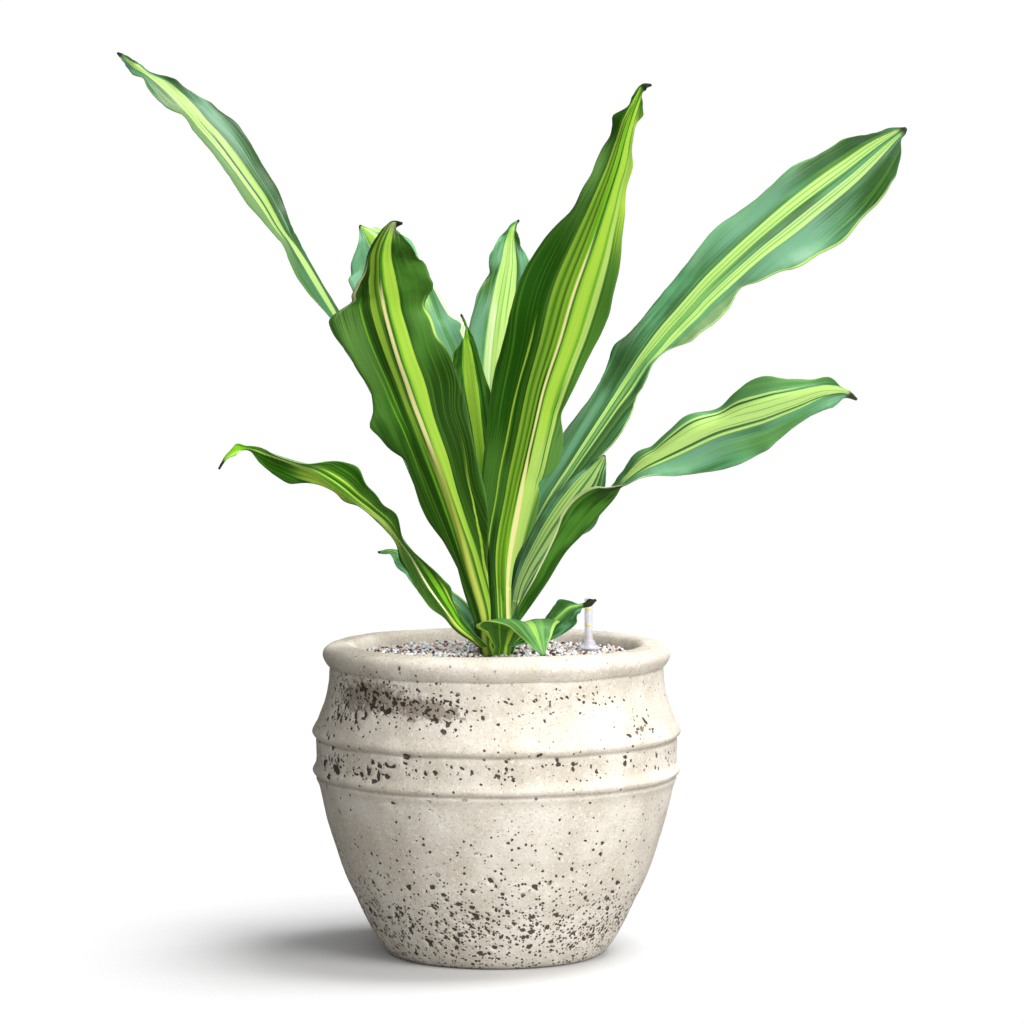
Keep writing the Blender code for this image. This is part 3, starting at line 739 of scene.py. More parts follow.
def through(points: list[tuple[float, float]], pitch: float, zones: tuple = ()) -> list[tuple[float, float]]:
    """Return a smooth line through profile points, sampled at a pitch.

    Args:
        points: (radius, height) points to pass through.
        pitch: the usual distance between samples.
        zones: (height, reach, pitch) places that are sampled more finely.

    Returns:
        The samples.
    """
    line = []
    padded = [points[0], *points, points[-1]]
    for index in range(1, len(padded) - 2):
        p0, p1, p2, p3 = (np.array(padded[index + k]) for k in (-1, 0, 1, 2))
        length = float(np.linalg.norm(p2 - p1))
        middle = (p1[1] + p2[1]) / 2
        step = pitch
        for height, reach, fine in zones:
            if abs(middle - height) < reach:
                step = fine
        count = max(1, round(length / step))
        span = [max(float(np.linalg.norm(b - a)), 1e-9) ** 0.5 for a, b in ((p0, p1), (p1, p2), (p2, p3))]
        before = (p1 - p0) / span[0] if index > 1 else (p2 - p1) / span[1]
        inner = (p2 - p1) / span[1]
        after = (p3 - p2) / span[2] if index < len(padded) - 3 else inner
        leave = (before * span[1] + inner * span[0]) / (span[0] + span[1])
        arrive = (inner * span[2] + after * span[1]) / (span[1] + span[2])
        for number in range(count):
            u = number / count
            keep = 2 * u ** 3 - 3 * u ** 2 + 1
            point = keep * p1 + (1 - keep) * p2
            point = point + ((u ** 3 - 2 * u ** 2 + u) * leave + (u ** 3 - u ** 2) * arrive) * span[1]
            line.append((float(point[0]), float(point[1])))
    line.append(points[-1])
    return line


# The planter


@dataclass(frozen=True)
class PitPatch:
    """A part of the wall where pits gather; turns are degrees from the front, right positive."""

    turn: float
    turn_reach: float
    height: float
    height_reach: float
    count: int
    sizes: tuple[float, float]
    strength: float
    stain: float = 0.0


@dataclass
class Planter:
    """The turned bowl: broad rolled lip, two hand-laid beads, pitted wall."""

    mouth: float = 100.0 * MM
    lip: float = 122.6 * MM
    neck: float = 118.0 * MM
    belly: float = 127.8 * MM
    height: float = 220.5 * MM
    floor: float = 18.0 * MM
    base: float = 68.0 * MM
    beads: tuple[float, float] = (158.5 * MM, 131.5 * MM)
    bead_out: float = 2.2 * MM
    bead_half: float = 4.5 * MM
    groove_height: float = 204.0 * MM
    steps: int = 340
    seed: int = 5
    patches: tuple[PitPatch, ...] = (
        PitPatch(-46, 22, 192, 16, 95, (0.7, 1.9), 0.75, 0.9),
        PitPatch(-20, 14, 184, 10, 40, (0.6, 1.5), 0.55, 0.8),
        PitPatch(-62, 14, 176, 16, 30, (0.8, 2.0), 0.35, 0.25),
        PitPatch(22, 22, 188, 12, 22, (0.5, 1.3), 0.26, 0.25),
        PitPatch(54, 10, 168, 14, 12, (0.9, 2.3), 0.12),
        PitPatch(-52, 34, 143, 9, 62, (0.9, 2.5), 0.46),
        PitPatch(10, 40, 143, 9, 26, (0.7, 2.2), 0.16),
        PitPatch(70, 26, 143, 9, 18, (0.7, 1.7), 0.20),
        PitPatch(-20, 80, 34, 26, 170, (0.6, 1.9), 0.62),
        PitPatch(60, 40, 26, 22, 70, (0.6, 1.5), 0.50),
        PitPatch(0, 90, 78, 34, 60, (0.5, 1.4), 0.10),
        PitPatch(140, 40, 186, 18, 60, (0.7, 2.0), 0.55, 0.6),
        PitPatch(205, 36, 143, 9, 50, (0.8, 2.3), 0.40),
        PitPatch(150, 60, 32, 26, 120, (0.6, 1.9), 0.60),
        PitPatch(240, 50, 36, 24, 90, (0.6, 1.7), 0.55),
        PitPatch(185, 80, 90, 34, 50, (0.5, 1.4), 0.10),
        PitPatch(230, 30, 182, 12, 30, (0.6, 1.7), 0.35, 0.4),
    )

    def outline(self) -> tuple[list[tuple[float, float]], int]:
        """Return the section, and the sample where the outside begins.

        Returns:
            The section's samples from the inner floor over the lip to the foot, and an index.
        """
        inner = [(0.4 * MM, self.floor), (79.0 * MM, self.floor), (84.0 * MM, 23.0 * MM)]
        inner += [(94.0 * MM, 48.0 * MM), (107.0 * MM, 92.0 * MM), (113.0 * MM, 130.0 * MM)]
        inner += [(110.0 * MM, 160.0 * MM), (103.0 * MM, 182.0 * MM), (self.mouth, 192.0 * MM)]
        inner += [(self.mouth, 204.0 * MM), (self.mouth + 0.2 * MM, 214.0 * MM)]
        lip = [(self.mouth + 1.6 * MM, 218.2 * MM), (self.mouth + 4.6 * MM, self.height - 0.2 * MM)]
        lip += [(self.mouth + 9.0 * MM, self.height), (self.lip - 8.6 * MM, self.height - 0.4 * MM)]
        lip += [(self.lip - 3.2 * MM, self.height - 2.1 * MM), (self.lip - 0.5 * MM, self.height - 5.2 * MM)]
        lip += [(self.lip, self.height - 8.6 * MM), (self.lip - 1.2 * MM, self.height - 11.6 * MM)]
        lip += [(self.neck + 1.1 * MM, self.groove_height + 1.6 * MM), (self.neck - 0.5 * MM, self.groove_height)]
        wall = [(self.neck - 0.1 * MM, self.groove_height - 1.8 * MM), (self.neck, 196.0 * MM)]
        wall += [(119.3 * MM, 187.0 * MM), (121.4 * MM, 179.0 * MM), (124.2 * MM, 171.6 * MM)]
        wall += [(126.4 * MM, 165.6 * MM)]
        for middle in self.beads:
            wall += [(self.belly - 0.2 * MM, middle + self.bead_half + 0.6 * MM)]
            wall += [(self.belly + 0.55 * self.bead_out, middle + 0.5 * self.bead_half)]
            wall += [(self.belly + self.bead_out, middle - 0.4 * MM)]
            wall += [(self.belly + 0.65 * self.bead_out, middle - 0.58 * self.bead_half)]
            wall += [(self.belly - 0.75 * MM, middle - self.bead_half - 0.3 * MM)]
            wall += [(self.belly - 0.35 * MM, middle - self.bead_half - 1.9 * MM)]
        wall += [(125.4 * MM, 120.0 * MM), (122.9 * MM, 108.3 * MM), (119.0 * MM, 93.0 * MM)]
        wall += [(113.6 * MM, 76.0 * MM), (106.8 * MM, 56.5 * MM), (97.6 * MM, 36.9 * MM)]
        wall += [(90.0 * MM, 21.0 * MM), (84.0 * MM, 10.8 * MM), (78.6 * MM, 3.8 * MM)]
        foot = [(75.0 * MM, 1.0 * MM), (self.base + 2.0 * MM, 0.0), (self.base - 3.0 * MM, 0.0)]
        foot += [(30.0 * MM, 0.0), (0.4 * MM, 0.0)]
        hidden = through(inner, 9.0 * MM)
        zones = tuple((middle - self.bead_half, 3.2 * MM, 0.6 * MM) for middle in self.beads)
        zones += ((self.groove_height, 3.0 * MM, 0.7 * MM), (0.0, 1.5 * MM, 6.0 * MM))
        outside = through([inner[-1], *lip, *wall, *foot], 1.45 * MM, zones)
        return hidden + outside[1:], len(hidden)

    def build(self, material: bpy.types.Material) -> bpy.types.Object:
        """Build the bowl with its wobbles and pits.

        Args:
            material: the stone.

        Returns:
            The piece.
        """
        section, outer = self.outline()
        rows = len(section)
        line = np.array(section)
        slope = np.gradient(line, axis=0)
        slope /= np.linalg.norm(slope, axis=1, keepdims=True)
        out = np.stack([-slope[:, 1], slope[:, 0]], axis=1)
        out[outer:] *= -1 if out[outer + rows // 4, 0] < 0 else 1
        angles = np.arange(self.steps) * 2 * math.pi / self.steps
        turns = (np.degrees(angles) + 90.0 + 180.0) % 360.0 - 180.0
        height = np.repeat(line[:, 1:2], self.steps, axis=1)
        weight = np.zeros(rows)
        weight[outer:] = 1.0
        weight *= np.clip(line[:, 1] / (3.0 * MM), 0.0, 1.0)
        sway = self.swell(angles, line)
        lift = self.bead_sway(angles, line)
        dent, hollow, pitting, stain = self.pit_fields(turns, line, weight)
        move = weight[:, None] * sway - dent
        radius = line[:, 0:1] + out[:, 0:1] * move
        height = height + out[:, 1:2] * move + lift
        points = np.stack([radius * np.cos(angles), radius * np.sin(angles), height], axis=2).reshape(-1, 3)
        faces = grid_faces(rows, self.steps, closed=True)
        faces.append(tuple(reversed(range(self.steps))))
        faces.append(tuple(range((rows - 1) * self.steps, rows * self.steps)))
        piece = shown("stone_planter", points, faces, material)
        facing_out(piece)
        crease = self.crease(line, weight)
        carry(piece, "crease", np.repeat(crease[:, None], self.steps, axis=1))
        carry(piece, "hollow", hollow)
        carry(piece, "pitting", pitting)
        carry(piece, "stain", stain)
        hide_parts("planter")
        return piece

    def swell(self, angles: np.ndarray, line: np.ndarray) -> np.ndarray:
        """Return how far the hand-finished wall stands out from true, in metres."""
        field = np.zeros((len(line), len(angles)))
        for row, (radius, height) in enumerate(line):
            for column, angle in enumerate(angles):
                spot = Vector((radius * math.cos(angle), radius * math.sin(angle), height))
                field[row, column] = 0.55 * noise.noise(spot * 14.0) + 0.28 * noise.noise(spot * 60.0)
                field[row, column] += 0.13 * noise.noise(spot * 210.0)
        return field * MM

    def bead_sway(self, angles: np.ndarray, line: np.ndarray) -> np.ndarray:
        """Return how far each bead and the groove rise and sink round the wall, in metres."""
        lift = np.zeros((len(line), len(angles)))
        for number, middle in enumerate((*self.beads, self.groove_height)):
            wave = np.array([noise.noise(Vector((3.1 * math.cos(a), 3.1 * math.sin(a), 7.0 * number)))
                             for a in angles])
            near = np.exp(-((line[:, 1] - middle) / (7.0 * MM)) ** 2) * (line[:, 0] > self.mouth + 12 * MM)
            lift += near[:, None] * wave[None, :] * 1.5 * MM
        return lift

    def crease(self, line: np.ndarray, weight: np.ndarray) -> np.ndarray:
        """Return where shade is painted: just under each bead and in the groove under the lip."""
        mask = np.zeros(len(line))
        for middle, depth in ((self.beads[0] - self.bead_half - 0.5 * MM, 1.0),
                              (self.beads[1] - self.bead_half - 0.5 * MM, 1.0),
                              (self.groove_height, 0.5)):
            mask += depth * np.exp(-((line[:, 1] - middle) / (0.75 * MM)) ** 2)
        return mask * weight

    def pit_fields(self, turns: np.ndarray, line: np.ndarray, weight: np.ndarray) -> tuple[np.ndarray, ...]:
        """Scatter the pits.

        Args:
            turns: each column's turn from the front, in degrees.
            line: the section's samples.
            weight: 1 on the outside of the wall.

        Returns:
            The dent in metres, the hollow mask, the density of fine pits and the stain.
        """
        rng = random.Random(self.seed)
        shape = (len(line), len(turns))
        dent, hollow = np.zeros(shape), np.zeros(shape)
        pitting, stain = np.full(shape, 0.035), np.zeros(shape)
        tall = line[:, 1] / MM
        low = np.clip((62.0 - tall) / 62.0, 0.0, 1.0)
        pitting += (0.42 * low ** 1.3)[:, None]
        for patch in self.patches:
            aside = (turns - patch.turn + 180.0) % 360.0 - 180.0
            near = np.exp(-0.5 * (aside / (0.6 * patch.turn_reach)) ** 2)[None, :]
            near = near * np.exp(-0.5 * ((tall - patch.height) / (0.6 * patch.height_reach)) ** 2)[:, None]
            pitting += patch.strength * near
            stain += patch.stain * near
            for _ in range(patch.count):
                turn = patch.turn + rng.gauss(0.0, 0.55) * patch.turn_reach
                level = patch.height + rng.gauss(0.0, 0.55) * patch.height_reach
                size = rng.uniform(*patch.sizes) * rng.choice((0.8, 1.0, 1.25))
                stretch, tilt = rng.uniform(1.0, 2.1), rng.uniform(0, math.pi)
                if not 3.0 < level < 201.0:
                    continue
                row = int(np.argmin(np.where(weight > 0, abs(tall - level), 1e9)))
                span = line[row, 0] / MM * math.pi / 180.0
                apart = ((turns - turn + 180.0) % 360.0 - 180.0) * span
                rise = tall - level
                columns = np.abs(apart) < 3 * size
                rows = (np.abs(rise) < 3 * size) & (weight > 0)
                x, y = np.meshgrid(apart[columns], rise[rows])
                a = (x * math.cos(tilt) + y * math.sin(tilt)) / (size * stretch ** 0.5)
                b = (y * math.cos(tilt) - x * math.sin(tilt)) * stretch ** 0.5 / size
                cup = np.clip(1.35 - np.sqrt(a * a + b * b), 0.0, 1.0)
                where = np.ix_(rows, columns)
                dent[where] = np.maximum(dent[where], cup * min(0.75 * size, 1.3) * MM)
                hollow[where] = np.maximum(hollow[where], cup)
        outside = (weight > 0)[:, None]
        return dent * outside, hollow * outside, np.clip(pitting, 0, 1) * outside, np.clip(stain, 0, 1) * outside


# The grains


@dataclass(frozen=True)
class GrainKind:
    """One colour of grain: how many in a hundred, how big, and how round."""

    name: str
    finish: GravelFinish
    share: int
    sizes: tuple[float, float]
    rounded: bool


@dataclass
class Grains:
    """The mineral mix: a bed that stands for the fill, and loose grains heaped on it."""

    surface: float = 210.2 * MM
    radius: float = 98.6 * MM
    cup_top: float = 187.3 * MM
    cup_radius: float = 88.0 * MM
    cup_foot: float = 74.6 * MM
    floor: float = 20.6 * MM
    pitch: float = 3.05 * MM
    seed: int = 23
    kinds: tuple[GrainKind, ...] = (
        GrainKind("grains_white", GravelFinish("white_mineral", (0.86, 0.90, 0.92), (0.62, 0.70, 0.74)),
                  34, (1.5, 2.3), True),
        GrainKind("grains_cream", GravelFinish("cream_mineral", (0.86, 0.76, 0.68), (0.58, 0.44, 0.36)),
                  30, (1.4, 2.2), True),
        GrainKind("grains_dark", GravelFinish("maroon_lava", (0.115, 0.060, 0.060), (0.028, 0.014, 0.016)),
                  26, (1.3, 2.1), False),
        GrainKind("grains_rose", GravelFinish("rose_mineral", (0.46, 0.27, 0.23), (0.24, 0.12, 0.11)),
                  10, (1.2, 1.9), False),
    )
    # The bed is dark: partly the maroon of the fill, and partly painted shade in the gaps between the loose grains.
    bed: GravelFinish = GravelFinish("grain_bed", (0.20, 0.13, 0.12), (0.05, 0.03, 0.03), 0.95)

    def ball(self, rounded: bool) -> tuple[np.ndarray, list]:
        """Return a small ball's vertices and faces, finer where it is rounded."""
        import bmesh
        shell = bmesh.new()
        bmesh.ops.create_icosphere(shell, subdivisions=2 if rounded else 1, radius=1.0)
        points = np.array([vertex.co for vertex in shell.verts])
        faces = [tuple(vertex.index for vertex in face.verts) for face in shell.faces]
        shell.free()
        return points, faces

    def spots(self, rng: random.Random, keep_out: list[tuple[float, float, float]]) -> list[tuple[float, float, float]]:
        """Return the grains' middles.

        Args:
            rng: the source of chance.
            keep_out: (x, y, radius) rounds that stay free.

        Returns:
            Their x, y, z in metres.
        """
        found = []
        steps = int(self.radius / self.pitch) + 2
        for layer, (lift, chance) in enumerate(((0.1, 1.0), (1.35, 0.34))):
            for row in range(-steps, steps + 1):
                for column in range(-steps * 2, steps * 2 + 1):
                    x = (column + 0.5 * row + 0.5 * layer) * self.pitch + rng.uniform(-0.36, 0.36) * self.pitch
                    y = (0.866 * row + 0.4 * layer) * self.pitch + rng.uniform(-0.36, 0.36) * self.pitch
                    z = self.surface + lift * MM + rng.uniform(-0.5, 0.8) * MM
                    taken = rng.random() > chance or math.hypot(x, y) > self.radius - 1.9 * MM
                    if taken or any(math.hypot(x - a, y - b) < reach for a, b, reach in keep_out):
                        continue
                    found.append((x, y, z))
        return found

    def build(self, effects: Effects, keep_out: list[tuple[float, float, float]]) -> list[bpy.types.Object]:
        """Build the bed and the loose grains.

        Args:
            effects: the shared node groups.
            keep_out: (x, y, radius) rounds where something stands in the grains.

        Returns:
            The pieces.
        """
        profile = [(0.4 * MM, self.floor), (self.cup_foot, self.floor), (self.cup_radius, self.cup_top)]
        profile += [(self.radius, self.cup_top + 0.1 * MM), (self.radius, self.surface - 0.4 * MM)]
        profile += [(self.radius * (8 - k) / 9, self.surface) for k in range(8)] + [(0.4 * MM, self.surface)]
        bed = turned_piece("grain_bed", profile, 96, (0.0, 0.0), self.bed.make(effects))
        facing_out(bed)
        carry(bed, "tone", np.array([noise.random() for _ in bed.data.vertices]))
        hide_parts("granules")
        rng = random.Random(self.seed)
        spots = self.spots(rng, keep_out)
        chosen = rng.choices(range(len(self.kinds)), weights=[kind.share for kind in self.kinds], k=len(spots))
        pieces = [bed]
        for number, kind in enumerate(self.kinds):
            middles = [spot for spot, which in zip(spots, chosen) if which == number]
            pieces.append(self.heap(kind, middles, rng, effects))
        return pieces

    def heap(self, kind: GrainKind, middles: list, rng: random.Random, effects: Effects) -> bpy.types.Object:
        """Build the loose grains of one colour as one mesh.

        Args:
            kind: the colour.
            middles: the grains' places.
            rng: the source of chance.
            effects: the shared node groups.

        Returns:
            The piece.
        """
        ball, ball_faces = self.ball(kind.rounded)
        points, faces, tones = [], [], []
        for middle in middles:
            size = rng.uniform(*kind.sizes) * MM
            turn = Euler((rng.uniform(0, 6.3), rng.uniform(0, 6.3), rng.uniform(0, 6.3))).to_matrix()
            stretch = np.diag([1.0, rng.uniform(0.72, 0.95), rng.uniform(0.6, 0.85)])
            lumps = np.array([rng.uniform(0.84, 1.12) for _ in ball])[:, None]
            shape = (ball * lumps) @ stretch @ np.array(turn).T * size + np.array(middle)
            first = len(tones)
            points.append(shape)
            faces += [tuple(first + corner for corner in face) for face in ball_faces]
            tones += [rng.random()] * len(ball)
        piece = shown(kind.name, np.concatenate(points), faces, kind.finish.make(effects),
                      smooth=kind.rounded)
        carry(piece, "tone", np.array(tones))
        return piece


# The leaves


class Upper(Enum):
    """Which face of a blade is its glossy upper one, against the normal of its grid."""

    ALONG_NORMAL = 1.0
    AGAINST_NORMAL = -1.0


@dataclass(frozen=True)
class Lobe:
    """A place where one margin swells or is notched.

    The side is -1 for the left and 1 for the right, out is how far it stands out in millimetres,
    below 0 for a notch, and back is how far it turns away behind the blade.
    """

    side: int
    along: float
    reach: float
    out: float
    back: float = 0.0


@dataclass
class Blade:
    """One leaf.

    Each station holds the rib's x, y, z, the half widths to the left and right of the growing
    direction as seen from the front, and how far each margin lies behind the rib.  A wave is the
    depth of the margins' ripple, its count, and its phase on the left and right.  The flow says
    how the stripes run: at each place along, how far they drift from the rib, as a share of the
    half width, and how widely they spread on the left and, where it differs, on the right.
    """

    name: str
    wave: tuple[float, float, float, float]
    stations: tuple[tuple[float, ...], ...]
    stripes: tuple[Stripe, ...]
    lobes: tuple[Lobe, ...] = ()
    flow: tuple[tuple[float, ...], ...] = ()
    upper: Upper = Upper.AGAINST_NORMAL
    across: tuple[float, ...] = ()
    tip: float = 0.975
    seed: float = 0.0
    fresh: float = 0.0
    # This gain paints light and shade: it brightens or darkens the whole leaf for how it is lit.
    light_gain: float = 1.0
    ruffle: float = 0.7
    bow: float = 0.08
    rows_per_station: int = 12
    columns_per_half: int = 12
    thickness: float = 0.9
    rib_height: float = 0.9
    pleat: float = 0.22
    grid: np.ndarray = field(default=None, repr=False)
    finish: bpy.types.Material = field(default=None, repr=False)

    def rows(self) -> np.ndarray:
        """Return smooth rows through the stations, each value alike."""
        marks = np.array(self.stations, dtype=float)
        reach = np.sqrt(np.linalg.norm(np.diff(marks[:, :3], axis=0), axis=1))
        slopes = np.diff(marks, axis=0) / reach[:, None]
        before, after = reach[:-1, None], reach[1:, None]
        middle = (slopes[:-1] * after + slopes[1:] * before) / (before + after)
        tangents = np.concatenate([slopes[:1], middle, slopes[-1:]])
        rows = []
        for index, span in enumerate(reach):
            for step in range(self.rows_per_station):
                u = step / self.rows_per_station
                start = 2 * u ** 3 - 3 * u ** 2 + 1
                curve = (u ** 3 - 2 * u ** 2 + u) * tangents[index] + (u ** 3 - u ** 2) * tangents[index + 1]
                rows.append(start * marks[index] + (1 - start) * marks[index + 1] + curve * span)
        rows.append(marks[-1])
        return np.array(rows)

    def margin_play(self, along: float, length: float, side: int) -> tuple[float, float]:
        """Return how far a margin stands out and turns back at one place, in millimetres."""
        envelope = min(max((along - 0.1) / 0.15, 0.0), 1.0) * min((1.0 - along) / 0.06, 1.0)
        place = along * length
        out = 0.55 * noise.noise(Vector((place / 17.0, side * 9.0, self.seed)))
        out += 0.30 * noise.noise(Vector((place / 6.0, side * 5.0, self.seed + 4.0)))
        back = 1.6 * noise.noise(Vector((place / 24.0, side * 7.0, self.seed + 8.0)))
        out, back = out * self.ruffle * envelope, back * self.ruffle * envelope
        for lobe in self.lobes:
            if lobe.side == side:
                bump = math.exp(-((along - lobe.along) / lobe.reach) ** 2)
                out += lobe.out * bump
                back += lobe.back * bump
        return out, back

    def shape(self) -> np.ndarray:
        """Return the midsurface as rows of points in millimetres, left margin to right margin."""
        rows = self.rows()
        last = len(rows) - 1
        length = float(np.sum(np.linalg.norm(np.diff(rows[:, :3], axis=0), axis=1)))
        depth, count, left_phase, right_phase = self.wave
        share = np.abs(np.linspace(-1.0, 1.0, 2 * self.columns_per_half + 1))[:, None]
        grid = []
        for index, row in enumerate(rows):
            growth = rows[min(index + 1, last), :3] - rows[max(index - 1, 0), :3]
            growth = growth / np.linalg.norm(growth)
            sideways = np.array(self.across) if self.across else np.array((growth[2], 0.0, -growth[0]))
            sideways = sideways / np.linalg.norm(sideways)
            along = index / last
            envelope = min(max((along - 0.15) / 0.25, 0.0), 1.0) * min((1.0 - along) / 0.12, 1.0)
            left_wave = depth * envelope * math.sin(2 * math.pi * (count * along + left_phase))
            right_wave = depth * envelope * math.sin(2 * math.pi * (count * along + right_phase))
            left_out, left_back = self.margin_play(along, length, -1)
            right_out, right_back = self.margin_play(along, length, 1)
            left_out = max(row[3] + left_out, 0.5 * row[3])
            right_out = max(row[4] + right_out, 0.5 * row[4]) if row[4] > 0 else row[4]
            left = np.array((0.0, row[5], 0.0)) - sideways * left_out
            right = np.array((0.0, row[6], 0.0)) + sideways * right_out
            normal = np.cross(growth, right - left)
            normal = normal / max(np.linalg.norm(normal), 1e-9)
            half = self.columns_per_half
            margins = np.array([left] * half + [right] * (half + 1))
            widths = np.linalg.norm(margins, axis=1)[:, None]
            pleats = self.pleat * np.cos(2 * math.pi * 3.0 * share) * np.minimum(widths / 12.0, 1.0) * envelope
            lift = self.bow * widths * 4 * share * (1 - share) + pleats * 4 * share * (1 - share)
            ruffle = np.array([left_wave + left_back] * half + [right_wave + right_back] * (half + 1))
            behind = (ruffle[:, None] * share ** 2.4) * np.array((0.0, 1.0, 0.0))
            grid.append(row[:3] + margins * share + normal * lift + behind)
        return np.array(grid)

    def vein_place(self, grid: np.ndarray) -> np.ndarray:
        """Return where each point lies across the stripes, as a share of the blade's usual half width."""
        half = self.columns_per_half
        steps = np.linalg.norm(np.diff(grid, axis=1), axis=2)
        right = np.cumsum(steps[:, half:], axis=1)
        left = np.cumsum(steps[:, :half][:, ::-1], axis=1)[:, ::-1]
        usual = smoothed((left[:, 0] + right[:, -1]) / 2, 2 * self.rows_per_station + 1)[:, None]
        place = np.concatenate([-left / usual, np.zeros((len(grid), 1)), right / usual], axis=1)
        if not self.flow:
            return place
        marks = np.array([(*mark, *mark[2:])[:4] for mark in self.flow])
        along = np.linspace(0.0, 1.0, len(grid))
        drift, left_spread, right_spread = (
            smoothed(np.interp(along, marks[:, 0], marks[:, column]), 7)[:, None] for column in (1, 2, 3))
        place = place - drift
        return place / np.where(place < 0.0, left_spread, right_spread)

    def build(self, effects: Effects) -> bpy.types.Object:
        """Build the blade as a closed thin solid that carries its own coordinates.

        Args:
            effects: the shared node groups.

        Returns:
            The piece.
        """
        grid = self.shape()
        self.grid = grid
        rows, columns = grid.shape[:2]
        growth = np.gradient(grid, axis=0)
        aside = np.gradient(grid, axis=1)
        normal = np.cross(growth, aside)
        normal /= np.maximum(np.linalg.norm(normal, axis=2, keepdims=True), 1e-9)
        across = np.repeat(np.linspace(-1.0, 1.0, columns)[None, :], rows, axis=0)
        along = np.repeat((np.arange(rows) / (rows - 1))[:, None], columns, axis=1)
        vein = self.vein_place(grid)
        from_rib = np.linalg.norm(grid - grid[:, columns // 2][:, None, :], axis=2)
        slim = np.clip((1.0 - along) / 0.08, 0.35, 1.0)
        skin = 0.5 * self.thickness * (1.0 - 0.55 * across ** 2) * slim
        rib_width = 2.6 * (1.0 - 0.7 * along)
        rib = self.rib_height * (1.0 - along) ** 0.8 * np.exp(-(from_rib / rib_width) ** 2)
        channel = 0.35 * rib
        front = skin + (-channel if self.upper is Upper.ALONG_NORMAL else rib)
        back = skin + (rib if self.upper is Upper.ALONG_NORMAL else -channel)
        sheets = np.stack([grid + normal * front[..., None], grid - normal * back[..., None]])
        points = sheets.reshape(-1, 3) * MM
        offset = rows * columns
        faces = [tuple(reversed(face)) for face in grid_faces(rows, columns)]
        faces += grid_faces(rows, columns, first=offset)
        faces += rim_faces(rows, columns, offset)
        finish = LeafFinish(self.name + "_finish", self.stripes, self.seed, self.tip, self.fresh, self.light_gain)
        self.finish = finish.make(effects)
        piece = shown("blade_" + self.name, points, faces, self.finish)
        facing_out(piece)
        for label, values in (("across", across), ("along", along), ("vein", vein)):
            carry(piece, label, np.concatenate([values.ravel(), values.ravel()]))
        top = 1.0 if self.upper is Upper.ALONG_NORMAL else 0.0
        carry(piece, "upper", np.concatenate([np.full(offset, top), np.full(offset, 1.0 - top)]))
        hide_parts("leaf_" + self.name)
        return piece


def smoothed(values: np.ndarray, window: int) -> np.ndarray:
    """Return a row of values, each averaged over an odd number of its neighbours."""
    padded = np.pad(values, window // 2, mode="edge")
    return np.convolve(padded, np.ones(window) / window, "valid")


def rim_faces(rows: int, columns: int, offset: int) -> list[tuple[int, ...]]:
    """Return the quads that join the two sheets of a thin solid round its edge.

    Args:
        rows: how many rows each sheet has.
        columns: how many vertices a row has.
        offset: the number of the second sheet's first vertex.

    Returns:
        The faces.
    """
    edge = [row * columns for row in range(rows)]
    edge += [(rows - 1) * columns + column for column in range(1, columns)]
    edge += [row * columns + columns - 1 for row in range(rows - 2, -1, -1)]
    edge += list(range(columns - 2, 0, -1))
    return [(here, there, there + offset, here + offset) for here, there in zip(edge, edge[1:] + edge[:1])]


